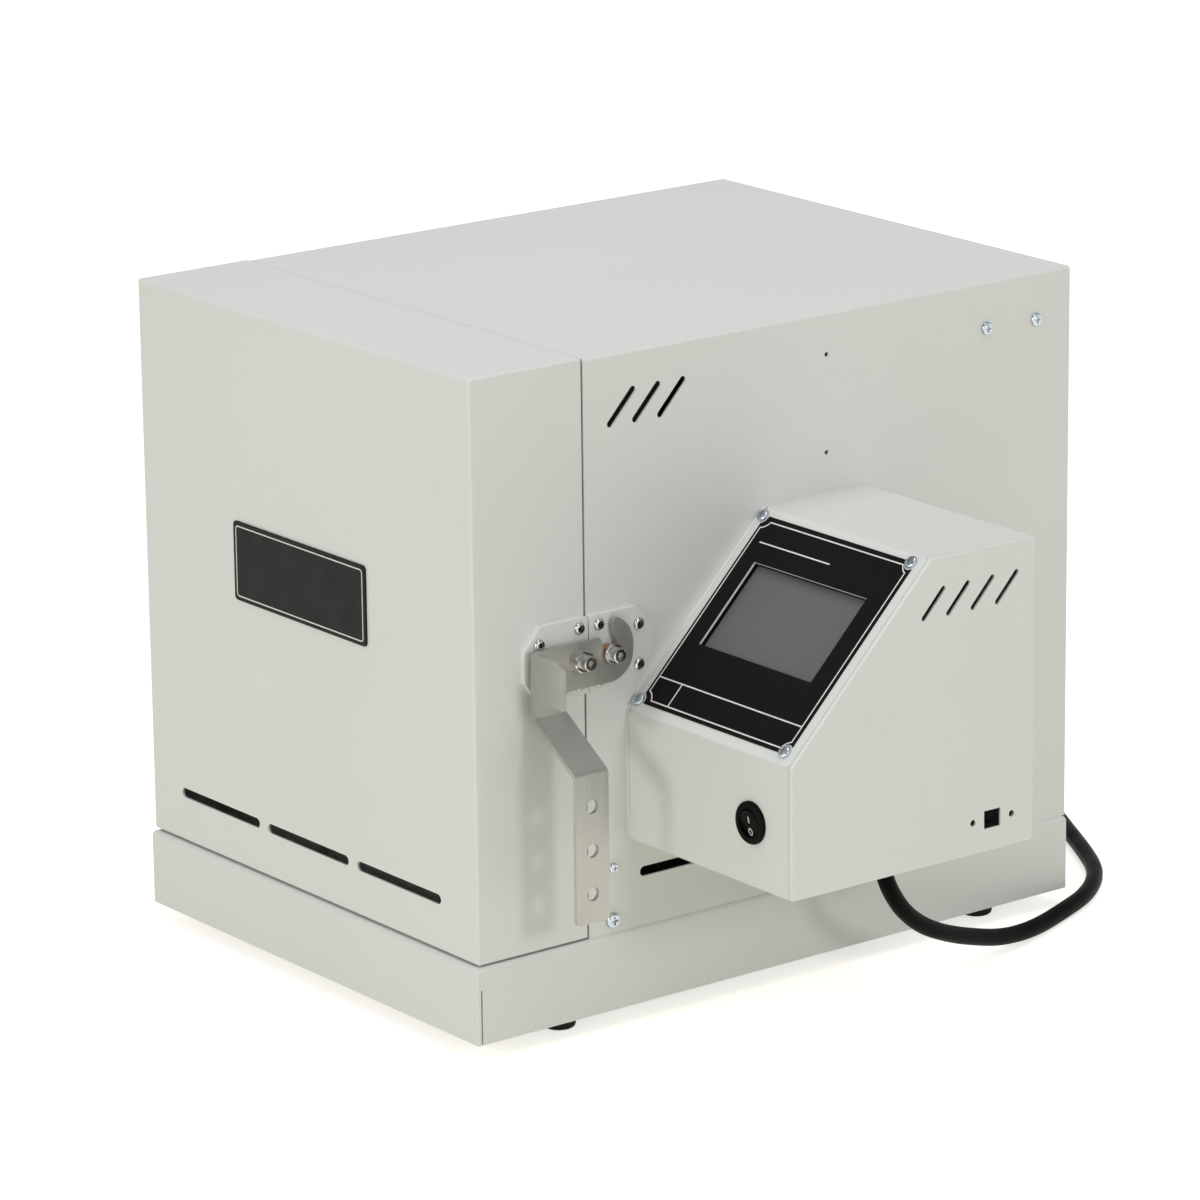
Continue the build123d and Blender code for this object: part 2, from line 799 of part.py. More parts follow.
bush_length = lever_clearance + lever_sheet + 2.0
washer_face = plate_face.offset(bush_length)
with BuildPart() as striker_washer:
    with on_plane(washer_face, [striker_place]):
        Cylinder(washer_radius, washer_height, align=LOW)
    drill(washer_face, [striker_place], bolt_radius + thread_clearance, 2 * washer_height)
    fillet(striker_washer.faces().sort_by(Axis.X)[-1].edges(), washer_height * 0.25)
keep(striker_washer.part, "striker_washer")

striker_bolt_length = washer_height + bush_length + plate_thickness + sheet
with BuildPart() as striker_bolt:
    with on_plane(washer_face.offset(washer_height), [striker_place]):
        add(socket_bolt(striker_bolt_length))
keep(striker_bolt.part, "striker_bolt")

with BuildPart() as striker_bush:
    with on_plane(plate_face.offset(running_clearance), [striker_place]):
        Cylinder(striker_radius, bush_length - 2 * running_clearance, align=LOW)
    drill(plate_face, [striker_place], bolt_radius + running_clearance, 2 * bush_length)
keep(striker_bush.part, "striker_bush")


# Door: outer skin, inner frame that holds the brick, board behind the skin, badge and plate
with BuildPart() as door_skin:
    add(span((left_x, front_y, door_z), (right_x, seam_y, door_top_z)))
    fillet(door_skin.edges().filter_by(Axis.Y), bend_radius / 2)
    fillet(door_skin.faces().sort_by(Axis.Y)[0].edges(), bend_radius)
    add(
        span(
            (left_x + sheet, front_y + sheet, door_z + sheet),
            (right_x - sheet, seam_y, door_top_z - sheet),
        ),
        mode=Mode.SUBTRACT,
    )
    with BuildSketch(front_face):
        with Locations(*slot_row(front_slot_shift - slot_pitch, door_z + front_slot_up)):
            SlotOverall(slot_length, slot_height)
    extrude(amount=-2 * sheet, mode=Mode.SUBTRACT)
    drill(right_face, latch_plate_places, button[2] + thread_clearance, 2 * sheet)
    drill(right_face, [pivot_place], bolt_radius + thread_clearance, 2 * sheet)
    drill(left_face, hinge_door_places, pan_medium[2] + thread_clearance, 2 * sheet)
keep(door_skin.part, "door_skin")

door_brick_y = seam_y - brick
tray = (
    (mid_x - door_brick_width / 2 - slip, chamber_z - door_brick_height / 2 - slip),
    (mid_x + door_brick_width / 2 + slip, chamber_z + door_brick_height / 2 + slip),
)
with BuildPart() as door_frame:
    add(
        span(
            (left_x + sheet, seam_y - sheet, door_z + sheet),
            (right_x - sheet, seam_y, door_top_z - sheet),
        )
    )
    add(
        span(
            (tray[0][0] - sheet, door_brick_y, tray[0][1] - sheet),
            (tray[1][0] + sheet, seam_y, tray[1][1] + sheet),
        )
    )
    add(
        span((tray[0][0], door_brick_y - sheet, tray[0][1]), (tray[1][0], seam_y, tray[1][1])),
        mode=Mode.SUBTRACT,
    )
keep(door_frame.part, "door_frame")

with BuildPart() as door_brick:
    add(
        span(
            (mid_x - door_brick_width / 2, door_brick_y, chamber_z - door_brick_height / 2),
            (mid_x + door_brick_width / 2, seam_y, chamber_z + door_brick_height / 2),
        )
    )
    chamfer(door_brick.faces().sort_by(Axis.Y)[-1].edges(), brick_edge)
keep(door_brick.part, "door_brick")

door_board_lap = 12.0
keep(
    span(
        (tray[0][0] - door_board_lap, front_y + sheet, tray[0][1] - door_board_lap),
        (tray[1][0] + door_board_lap, door_brick_y, tray[1][1] + door_board_lap),
    ),
    "door_insulation",
)

with BuildPart() as badge:
    with BuildSketch(front_face):
        with Locations((badge_shift, door_z + badge_up)):
            RectangleRounded(badge_width, badge_height, badge_corner)
    extrude(amount=badge_thickness)
    fillet(badge.faces().sort_by(Axis.Y)[0].edges(), badge_thickness * 0.25)
keep(badge.part, "badge_plate")

with BuildPart() as pivot_plate:
    add(latch_plate(-1))
    drill(plate_face, latch_plate_places, button[2] + thread_clearance, 2 * plate_thickness)
    drill(plate_face, [pivot_place], bolt_radius + thread_clearance, 2 * plate_thickness)
keep(pivot_plate.part, "pivot_plate")
fasteners("pivot_plate_screws", [(plate_screw, plate_face, latch_plate_places)])

shoulder_radius = 4.5
spacer_radius = 6.5
collar_start = lever_clearance + lever_sheet + running_clearance
with BuildPart() as pivot_spacer:
    with on_plane(plate_face, [pivot_place]):
        Cylinder(spacer_radius, lever_clearance - running_clearance, align=LOW)
        Cylinder(shoulder_radius + running_clearance, 3 * lever_clearance, mode=Mode.SUBTRACT)
keep(pivot_spacer.part, "pivot_spacer")

with BuildPart() as pivot_collar:
    with on_plane(plate_face, [pivot_place]):
        Cylinder(shoulder_radius, collar_start, align=LOW)
    with on_plane(plate_face.offset(collar_start), [pivot_place]):
        Cylinder(collar_radius, collar_height, align=LOW)
    chamfer(pivot_collar.edges().sort_by(Axis.X)[-1], collar_radius * 0.1)
    drill(plate_face, [pivot_place], bolt_radius + thread_clearance, 4 * collar_height)
keep(pivot_collar.part, "pivot_collar")

pivot_bolt_length = collar_start + collar_height + plate_thickness + sheet
with BuildPart() as pivot_bolt:
    with on_plane(plate_face.offset(collar_start + collar_height), [pivot_place]):
        add(socket_bolt(pivot_bolt_length))
keep(pivot_bolt.part, "pivot_bolt")


# Latch lever: one bent strip with a hook plate, a front tab, a slope and a grip
lever_plane = Plane((lever_x, pivot_y, latch_z), x_dir=(0, 1, 0), z_dir=(1, 0, 0))
notch_radius = striker_radius + striker_clearance
finger_inner = striker_from_pivot + notch_radius
arc_radius = striker_from_pivot - notch_radius
outer_start = striker_from_pivot - 0.7
leg_back = leg_width - leg_front
tip_radius = 3.2
leg_corner = 3.0
grip_corner = 3.0
with BuildPart() as lever:
    with BuildSketch(lever_plane) as hook:
        with BuildLine():
            top_end = sqrt(arc_radius**2 - lever_top**2)
            half = atan2(lever_top, top_end) / 2
            Line((-lever_front, lever_top), (top_end, lever_top))
            ThreePointArc(
                (top_end, lever_top),
                (arc_radius * cos(half), arc_radius * sin(half)),
                (arc_radius, 0),
            )
            ThreePointArc((arc_radius, 0), (striker_from_pivot, -notch_radius), (finger_inner, 0))
            rise = sqrt(finger_inner**2 - finger_edge**2)
            lean = atan2(rise, finger_edge) / 2
            ThreePointArc(
                (finger_inner, 0), (finger_inner * cos(lean), finger_inner * sin(lean)), (finger_edge, rise)
            )
            Line((finger_edge, rise), (finger_edge, finger_top - tip_radius))
            ThreePointArc(
                (finger_edge, finger_top - tip_radius),
                (finger_edge + tip_radius * 0.3, finger_top - tip_radius * 0.3),
                (finger_edge + tip_radius, finger_top),
            )
            ThreePointArc(
                (finger_edge + tip_radius, finger_top),
                (outer_start + finger_outer_radius * cos(radians(33)), finger_outer_radius * sin(radians(50))),
                (outer_start + finger_outer_radius, 0),
            )
            ThreePointArc(
                (outer_start + finger_outer_radius, 0),
                (
                    outer_start + finger_outer_radius * cos(radians(45)),
                    -lever_bottom * sin(radians(45)),
                ),
                (outer_start, -lever_bottom),
            )
            Polyline(
                (outer_start, -lever_bottom),
                (-lever_front, -lever_bottom),
                (-lever_front, lever_top),
            )
        make_face()
    extrude(amount=lever_sheet)
    with BuildSketch(Plane((lever_x, pivot_y - lever_front, latch_z), x_dir=(1, 0, 0), z_dir=(0, -1, 0))):
        with Locations((0, -lever_bottom)):
            tab_rectangle = Rectangle(
                tab_reach + lever_sheet, lever_top + lever_bottom, align=(Align.MIN, Align.MIN)
            )
        fillet(tab_rectangle.vertices().group_by(Axis.X)[-1].sort_by(Axis.Y)[-1], tab_corner)
    extrude(amount=-lever_sheet)
    corner = lever.edges().filter_by(Axis.Z).sort_by_distance((lever_x, pivot_y - lever_front, latch_z))[0]
    fillet(corner, lever_sheet * 0.9)
    with Locations((lever_x, pivot_y - leg_front, latch_z - leg_drop)):
        Box(lever_sheet, leg_width, leg_drop, align=(Align.MIN, Align.MIN, Align.MIN))
    fillet(
        lever.edges().filter_by(Axis.X).sort_by_distance((lever_x, pivot_y + leg_back, latch_z - lever_bottom))[0],
        leg_corner,
    )
    with BuildSketch(Plane.XZ.offset(-(pivot_y - leg_front))):
        with BuildLine() as strip:
            FilletPolyline(
                (lever_x, latch_z - leg_drop + lever_sheet),
                (lever_x, latch_z - leg_drop),
                (lever_x + slope_out, latch_z - leg_drop - slope_drop),
                (lever_x + slope_out, latch_z - leg_drop - slope_drop - grip_length),
                radius=(lever_sheet * 1.6, lever_sheet * 0.6),
            )
            offset(amount=lever_sheet, side=Side.LEFT)
        make_face()
    extrude(amount=-leg_width)
    bottom = lever.faces().sort_by(Axis.Z)[0]
    fillet(bottom.edges().filter_by(Axis.X), grip_corner)
    grip_face = Plane(
        (lever_x + lever_sheet + slope_out, pivot_y - leg_front + leg_width / 2, latch_z - leg_drop - slope_drop),
        x_dir=(0, 1, 0),
        z_dir=(1, 0, 0),
    )
    grip_places = [(0, -grip_hole_first - i * grip_hole_pitch) for i in range(3)]
    drill(grip_face, grip_places, grip_hole_radius, 2 * lever_sheet)
    drill(lever_plane, [(0, 0)], shoulder_radius + running_clearance, 2 * lever_sheet)
keep(lever.part, "latch_lever")


# Hinges: two sets of leaves with interleaved knuckles and a headed pin
knuckle_height = hinge_height / 3
knuckle_clearance = 0.3


def hinge_leaves(direction, knuckles):
    """The two leaves on one side of the seam: direction 1 is the body, -1 is the door."""
    with BuildPart() as leaves:
        for z in hinge_heights:
            low = z - hinge_height / 2
            near = hinge_barrel_radius + knuckle_clearance
            ends = sorted((hinge_y + direction * near, hinge_y + direction * hinge_leaf_width))
            add(span((left_x - hinge_leaf, ends[0], low), (left_x, ends[1], low + hinge_height)))
            for k in knuckles:
                start = low + k * knuckle_height + (knuckle_clearance / 2 if k > 0 else 0)
                height = knuckle_height - knuckle_clearance / 2 * (2 if k == 1 else 1)
                inner = sorted((hinge_y, hinge_y + direction * (near + 1)))
                add(span((left_x - hinge_leaf, inner[0], start), (left_x, inner[1], start + height)))
                with Locations((hinge_x, hinge_y, start)):
                    Cylinder(hinge_barrel_radius, height, align=LOW)
            with Locations((hinge_x, hinge_y, z)):
                Cylinder(hinge_pin_radius + running_clearance, 2 * hinge_height, mode=Mode.SUBTRACT)
            add(
                span((left_x, ends[0], low), (left_x + hinge_leaf, ends[1], low + hinge_height)),
                mode=Mode.SUBTRACT,
            )
        fillet(
            leaves.edges().filter_by(Axis.X).group_by(Axis.Y)[-1 if direction > 0 else 0],
            bend_radius,
        )
        places = hinge_body_places if direction > 0 else hinge_door_places
        drill(left_face.offset(hinge_leaf), places, pan_medium[2] + thread_clearance, 2 * hinge_leaf)
    return leaves.part


keep(hinge_leaves(1, (0, 2)), "hinge_body_leaves")
keep(hinge_leaves(-1, (1,)), "hinge_door_leaves")
pin_head_radius = 3.6
pin_head_height = 2.0
with BuildPart() as pins:
    with Locations(*[(hinge_x, hinge_y, z + hinge_height / 2) for z in hinge_heights]):
        Cylinder(pin_head_radius, pin_head_height, align=LOW)
        Cylinder(hinge_pin_radius, hinge_height, align=HIGH)
    chamfer(pins.edges().group_by(Axis.Z)[-1], pin_head_height * 0.2)
keep(pins.part, "hinge_pins")

leaf_face = left_face.offset(hinge_leaf)
leaf_screw = pan_screw(pan_medium, hinge_leaf + sheet + 3)
fasteners(
    "cabinet_screws",
    [
        (large_screw, right_face, side_low_places),
        (large_screw, left_face, left_low_places),
        (side_screw, right_face, side_rear_places),
        (side_screw, left_face, left_rear_places),
        (small_screw, right_face, side_switch_places),
        (pan_screw(pan_medium, 2 * sheet + 3), rear_face, back_screw_places),
        (pan_screw(pan_small, foot_height - foot_recess + sheet + 2), foot_seat, foot_spots),
        (leaf_screw, leaf_face, hinge_body_places),
    ],
)
fasteners("hinge_door_screws", [(leaf_screw, leaf_face, hinge_door_places)])


# Control box: back tray on the cabinet, wrapped band, outer cover
wrap_start_x = right_x + box_rim + box_seam
wrap_stop_x = box_out_x - box_rim - box_seam
window = (
    (window_left + window_right) / 2,
    (window_low + window_high) / 2,
    window_right - window_left,
    window_high - window_low,
)
switch_place = (switch_across, switch_up)
gland_place = (right_x + gland_across, box_front_y + gland_from_front)
box_screw_height = 3 * box_screw_inset
box_rear_face = Plane((right_x, box_back_y, box_z), x_dir=(-1, 0, 0), z_dir=(0, 1, 0))
box_rear_places = [
    (-across, up)
    for across in (box_rim + box_lap / 2, box_reach - box_rim - box_lap / 2)
    for up in (box_screw_height / 2, slope_top_z - box_z - box_screw_height / 2)
]


def drill_box_screws():
    """Holes for the panel screws and the rear screws, through the band and the lips under it."""
    drill(slope_face, panel_places, pan_medium[2] + thread_clearance, 3 * sheet)
    drill(box_rear_face, box_rear_places, pan_small[2] + thread_clearance, 3 * sheet)


with BuildPart() as box_tray:
    extrude(box_profile(right_x, 0), amount=sheet)
    add(box_ring(right_x, box_rim, 0, sheet))
    add(box_ring(right_x, box_rim + box_lap, sheet, 2 * sheet))
    tray_face = right_face.offset(sheet)
    drill(tray_face, box_mount_places, pan_medium[2] + thread_clearance, 2 * sheet)
    drill(tray_face, [grommet_place], grommet_radius + thread_clearance, 2 * sheet)
    drill_box_screws()
keep(box_tray.part, "control_box_tray")

with BuildPart() as box_band:
    extrude(box_profile(wrap_start_x, 0), amount=wrap_stop_x - wrap_start_x)
    extrude(box_profile(wrap_start_x, sheet), amount=wrap_stop_x - wrap_start_x, mode=Mode.SUBTRACT)
    drill_box_screws()
    with BuildSketch(slope_face):
        with Locations(window[:2]):
            Rectangle(*window[2:])
    extrude(amount=-2 * sheet, mode=Mode.SUBTRACT)
    drill(box_front_face, [switch_place], switch_barrel_radius + thread_clearance, 2 * sheet)
    with Locations((*gland_place, box_z)):
        Cylinder(switch_barrel_radius + thread_clearance, 4 * sheet, mode=Mode.SUBTRACT)
    for x in (wrap_start_x, wrap_stop_x):
        for y, z in ((box_front_y, slope_z), (slope_back_y, slope_top_z)):
            with Locations(Location((x, y, z))):
                Sphere(relief_radius * 1.5, mode=Mode.SUBTRACT)
keep(box_band.part, "control_box_band")

port_place = (box_front_y + port_from_front, box_z + port_up)
port_hole_places = [(port_place[0] + side * port_hole_pitch / 2, port_place[1]) for side in (-1, 1)]
with BuildPart() as box_cover:
    extrude(box_profile(box_out_x - sheet, 0), amount=sheet)
    add(box_ring(box_out_x - box_rim, box_rim, 0, sheet))
    add(box_ring(box_out_x - box_rim - box_lap, box_rim + box_lap, sheet, 2 * sheet))
    fillet(box_cover.faces().sort_by(Axis.X)[-1].outer_wire().edges(), sheet * 0.8)
    places, length, angle = slanted_slots(
        box_front_y + box_slant_from_front, box_slant_pitch, 4, box_slant_run, box_slant_rise, box_slant_width
    )
    with BuildSketch(box_side_face):
        with Locations(*[(y, slope_top_z - box_slant_below_top + z) for y, z in places]):
            SlotOverall(length, box_slant_width, rotation=angle)
        with Locations(port_place):
            Rectangle(port_width, port_height)
    extrude(amount=-sheet, mode=Mode.SUBTRACT)
    drill(box_side_face, port_hole_places, port_hole_radius, 2 * sheet)
    drill_box_screws()
keep(box_cover.part, "control_box_cover")

fasteners("panel_screws", [(pan_screw(pan_medium, 3 * sheet + 2), slope_face, panel_places)])
fasteners(
    "box_screws",
    [
        (pan_screw(pan_small, 2 * sheet + 2), box_rear_face, box_rear_places),
        (pan_screw(pan_medium, 2 * sheet), tray_face, box_mount_places),
    ],
)

with BuildPart() as label:
    with BuildSketch(slope_face):
        with Locations(((label_start + label_end) / 2, (label_low + label_high) / 2)):
            Rectangle(label_end - label_start, label_high - label_low)
        with Locations(*panel_places):
            Circle(label_notch, mode=Mode.SUBTRACT)
        with Locations(window[:2]):
            Rectangle(*window[2:], mode=Mode.SUBTRACT)
    extrude(amount=label_thickness)
keep(label.part, "panel_label")

frame_start = slope_face.offset(-sheet)
with BuildPart() as screen_frame:
    with BuildSketch(frame_start):
        with Locations(window[:2]):
            Rectangle(window[2] + 2 * window_frame, window[3] + 2 * window_frame)
            Rectangle(*window[2:], mode=Mode.SUBTRACT)
    extrude(amount=-screen_recess)
keep(screen_frame.part, "screen_frame")

glass_face = frame_start.offset(-screen_recess)
with BuildPart() as screen_pane:
    with BuildSketch(glass_face):
        with Locations(window[:2]):
            Rectangle(window[2] + window_frame, window[3] + window_frame)
    extrude(amount=-screen_glass)
keep(screen_pane.part, "screen_pane")

module_face = glass_face.offset(-screen_glass)
with BuildPart() as module:
    with BuildSketch(module_face):
        with Locations(window[:2]):
            RectangleRounded(window[2] + 2 * window_frame, window[3] + 2 * window_frame, bend_radius)
    extrude(amount=-module_depth)
keep(module.part, "display_module")

board_thickness = 1.6
chip_height = 3.0
with BuildPart() as circuit:
    with BuildSketch(module_face.offset(-module_depth)):
        with Locations(window[:2]):
            Rectangle(window[2], window[3])
    extrude(amount=-board_thickness)
    with BuildSketch(module_face.offset(-module_depth - board_thickness)):
        with Locations(window[:2]):
            with GridLocations(window[2] / 3, window[3] / 2, 3, 2):
                Rectangle(window[2] / 6, window[3] / 5)
    extrude(amount=-chip_height)
keep(circuit.part, "controller_board")


# Power switch in the front of the control box
rocker_depth = 6.0
with BuildPart() as switch_body:
    with on_plane(box_front_face, [switch_place]):
        Cylinder(switch_bezel_radius, switch_bezel_height, align=LOW)
        fillet(switch_body.edges().filter_by(GeomType.CIRCLE).sort_by(Axis.Y)[0], switch_bezel_height * 0.6)
    with on_plane(box_front_face, [switch_place]):
        Cylinder(switch_barrel_radius, switch_barrel_length, align=HIGH)
    drill(box_front_face, [switch_place], rocker_radius + slip, rocker_depth)
keep(switch_body.part, "switch_body")

rocker_face = switch_bezel_height * 0.75
rocker_swing = radians(rocker_tilt)
rocker_nose = rocker_radius * sin(rocker_swing)
rocker_plane = Plane(
    (right_x + switch_across, box_front_y, box_z + switch_up), x_dir=(0, -1, 0), z_dir=(-1, 0, 0)
)
pivot_inset = 1.0
with BuildPart() as rocker:
    with BuildSketch(rocker_plane):
        with BuildLine():
            Polyline(
                (-rocker_depth + 2.2, -rocker_radius * 0.55),
                (-pivot_inset, -rocker_radius * 0.93),
                (rocker_face - rocker_nose, -rocker_radius),
                (rocker_face, 0),
                (rocker_face + rocker_nose, rocker_radius),
                (-pivot_inset, rocker_radius * 0.93),
                (-rocker_depth + 2.2, rocker_radius * 0.55),
                close=True,
            )
        make_face()
    extrude(amount=1.5 * rocker_radius, both=True)
    with Locations(rocker_plane.origin):
        Sphere(rocker_radius, mode=Mode.INTERSECT)
keep(rocker.part, "switch_rocker")

# Inside the control box, all seated on the tray. Places are from the box's rear bottom corner
def on_tray(place, width, height, depth):
    """A block on the tray, centred on its place."""
    centre_y = box_back_y - place[0]
    centre_z = box_z + place[1]
    return span(
        (right_x + sheet, centre_y - width / 2, centre_z - height / 2),
        (right_x + sheet + depth, centre_y + width / 2, centre_z + height / 2),
    )


sink_place = (60.0, 148.0)
sink_size = 60.0
sink_base = 5.0
sink_depth = 30.0
fin_count = 9
fin_gap = sink_size / (2 * fin_count - 1)
with BuildPart() as heat_sink:
    add(on_tray(sink_place, sink_size, sink_size, sink_depth))
    with Locations(
        *[
            (
                right_x + sheet + sink_base,
                box_back_y - sink_place[0],
                box_z + sink_place[1] + (i - (fin_count - 2) / 2) * 2 * fin_gap,
            )
            for i in range(fin_count - 1)
        ]
    ):
        Box(
            sink_depth,
            2 * sink_size,
            fin_gap,
            align=(Align.MIN, Align.CENTER, Align.CENTER),
            mode=Mode.SUBTRACT,
        )
keep(heat_sink.part, "heat_sink")

relay_place = (41.0, 88.0)
relay_width = 45.0
relay_height = 58.0
relay_depth = 23.0
with BuildPart() as relay:
    add(on_tray(relay_place, relay_width, relay_height, relay_depth))
    fillet(relay.edges().filter_by(Axis.X), bend_radius)
keep(relay.part, "heater_relay")

strip_place = (98.0, 46.0)
strip_ways = 6
strip_pitch = 11.0
strip_height = 24.0
strip_width = 22.0
strip_wall = 3.5
with BuildPart() as terminal_strip:
    add(on_tray(strip_place, strip_width, strip_ways * strip_pitch, strip_height))
    for i in range(strip_ways):
        way = (strip_place[0], strip_place[1] + (i - (strip_ways - 1) / 2) * strip_pitch)
        with Locations((right_x + sheet + strip_height, box_back_y - way[0], box_z + way[1])):
            Box(strip_height, 2 * strip_width, strip_pitch - strip_wall, mode=Mode.SUBTRACT)
keep(terminal_strip.part, "terminal_strip")

grommet_bore = 6.5
with BuildPart() as grommet:
    with on_plane(tray_face, [grommet_place]):
        Cylinder(grommet_radius + 2.2, sheet, align=LOW)
        Cylinder(grommet_radius, 2 * sheet, align=HIGH)
    drill(tray_face, [grommet_place], grommet_bore, 4 * sheet)
keep(grommet.part, "wire_grommet")


# Mains cord: gland in the box's floor, free run, coil behind the oven, tail and plug
cord_radius = cord_diameter / 2
with BuildPart(Plane((*gland_place, box_z))) as gland:
    Cylinder(switch_barrel_radius, sheet, align=LOW)
    with Locations((0, 0, sheet)):
        Cylinder(switch_barrel_radius + 2.5, 6, align=LOW)
    Cylinder(switch_barrel_radius + 2, 4, align=HIGH)
    with Locations((0, 0, -4)):
        Cone(cord_radius + 0.8, switch_barrel_radius - 1.5, gland_length - 4, align=HIGH)
    Cylinder(cord_radius, 4 * gland_length, mode=Mode.SUBTRACT)
keep(gland.part, "cord_gland")

floor_run = cord_radius
coil_pitch = 13.5
coil_layer = 12.4
coil_outer = 66.0
coil_from_middle = 100.0
coil_x = mid_x - coil_from_middle
coil_y = 330.0
coil_turn_halves = 3
cord_route = [
    (*gland_place, box_z + sheet + 6),
    (*gland_place, 93.0),
    (179.0, 27.5, 64.5),
    (174.0, 50.0, 45.0),
    (167.0, 78.0, 31.0),
    (157.0, 112.0, 18.5),
    (148.5, 142.0, 9.5),
    (139.5, 176.0, floor_run),
    (125.0, 214.0, floor_run),
    (109.0, 250.0, floor_run),
    (80.0, 284.0, floor_run),
    (38.0, 309.0, floor_run),
    (-8.0, 333.0, floor_run),
    (-50.0, 356.0, floor_run),
    (-92.0, 376.0, floor_run),
    (-132.0, coil_y + coil_outer, floor_run),
    (coil_x + cord_diameter, coil_y + coil_outer, floor_run),
]


def corner_radii(points):
    """The largest radius that the two runs at each corner of a route allow."""
    places = [Vector(*p) for p in points]
    radii = []
    for before, at, after in zip(places, places[1:], places[2:]):
        turn = radians((at - before).get_angle(after - at))
        radii.append(0.45 * min((at - before).length, (after - at).length) / tan(turn / 2))
    return radii


def tube(points):
    """A round cord along straight runs joined by tangent arcs."""
    with BuildPart() as cord:
        with BuildLine() as route:
            FilletPolyline(*points, radius=corner_radii(points))
        start = Vector(*points[0])
        with BuildSketch(Plane(start, z_dir=Vector(*points[1]) - start)):
            Circle(cord_radius)
        sweep(path=route.line)
    length = route.wire().length
    ratio = cord.part.volume / (pi * cord_radius**2 * length)
    radii = [round(r) for r in corner_radii(points)]
    print("tube length", round(length, 1), "volume ratio", round(ratio, 4), "radii", radii)
    return cord.part, length


run, run_length = tube(cord_route)
keep(run, "cord_run")


def coil_path():
    """Half turns that spiral inwards, climb one layer in half a turn and spiral out again."""
    step = coil_pitch / 2
    low, high = floor_run, floor_run + coil_layer
    inward = [coil_outer - k * step for k in range(coil_turn_halves + 1)]
    reaches = inward + inward[::-1]
    heights = [low] * (coil_turn_halves + 1) + [high] * (coil_turn_halves + 1)
    places = [
        Vector(coil_x, coil_y + (reach if k % 2 == 0 else -reach), height)
        for k, (reach, height) in enumerate(zip(reaches, heights))
    ]
    with BuildLine() as path:
        Line(places[0] + Vector(cord_diameter, 0, 0), places[0])
        for k, (start, stop) in enumerate(zip(places, places[1:])):
            side = -1 if k % 2 == 0 else 1
            half = (stop - start).length / 2
            middle = (start + stop) / 2
            if k == coil_turn_halves:
                outward = Vector(side * half, 0, 0)
                joint = middle + outward
                first = start + (joint - start - outward)
                second = stop + (joint - stop - outward)
                ThreePointArc(start, first + (start + outward - first) / sqrt(2), joint)
                ThreePointArc(joint, second + (stop + outward - second) / sqrt(2), stop)
            else:
                ThreePointArc(start, middle + Vector(side * half, 0, 0), stop)
        Line(places[-1], places[-1] + Vector(cord_diameter, 0, 0))
    return path.wire()


def least_gap(path, diameter):
    """Smallest space between stretches of a path that are over three diameters apart along it."""
    count = int(path.length / 3)
    points = [path @ (i / count) for i in range(count + 1)]
    apart = int(3 * diameter / 3) + 1
    pairs = ((p - q).length for i, p in enumerate(points) for q in points[i + apart:])
    return min(pairs) - diameter


coil_line = coil_path()
with BuildPart() as coil:
    with BuildSketch(Plane(coil_line @ 0, z_dir=coil_line % 0)):
        Circle(cord_radius)
    sweep(path=coil_line)
print("coil length", round(coil_line.length, 1), "least gap", round(least_gap(coil_line, cord_diameter), 2))
keep(coil.part, "cord_coil")

plug_height = 25.0
plug_width = 30.0
plug_length = 40.0
plug_sleeve = 24.0
tail_start = coil_line @ 1
tail_run = 16.0
tail_drop = 40.0
tail_route = [
    tuple(tail_start),
    (tail_start.X + tail_run, tail_start.Y, tail_start.Z),
    (tail_start.X + tail_run + tail_drop, tail_start.Y, plug_height / 2),
    (tail_start.X + 2 * tail_run + tail_drop, tail_start.Y, plug_height / 2),
]
tail, tail_length = tube(tail_route)
keep(tail, "cord_tail")
print("cord length", round(run_length + coil_line.length + tail_length, 1))

plug_plane = Plane(tail_route[-1], x_dir=(0, 1, 0), z_dir=(1, 0, 0))
with BuildPart(plug_plane) as plug:
    Cone(cord_radius + 1.0, cord_radius + 3.5, plug_sleeve, align=LOW)
    with BuildSketch(plug_plane.offset(plug_sleeve)):
        Circle(cord_radius + 3.5)
    with BuildSketch(plug_plane.offset(plug_sleeve + plug_length * 0.45)):
        RectangleRounded(plug_width, plug_height, 7)
    loft()
    with BuildSketch(plug_plane.offset(plug_sleeve + plug_length * 0.45)):
        RectangleRounded(plug_width, plug_height, 7)
    extrude(amount=plug_length * 0.55)
keep(plug.part, "plug_body")

blade_face = plug_plane.offset(plug_sleeve + plug_length)
with BuildPart() as blades:
    with BuildSketch(blade_face):
        with Locations((0, -3.5)):
            with GridLocations(12.7, 1, 2, 1):
                Rectangle(1.5, 6.35)
    extrude(amount=17.0)
    with BuildSketch(blade_face):
        with Locations((0, 7.5)):
            Circle(2.4)
    extrude(amount=20.0)
keep(blades.part, "plug_blades")
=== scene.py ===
"""Bench heat treat oven: finishes, printed lines, wound elements and the mains cord over the CAD frame.

Everything is in metres, in the CAD frame: +Z up, the door faces -Y, the control box is on +X.
"""
import bpy
from math import atan2, ceil, cos, pi, radians, sin, sqrt
from mathutils import Matrix, Vector


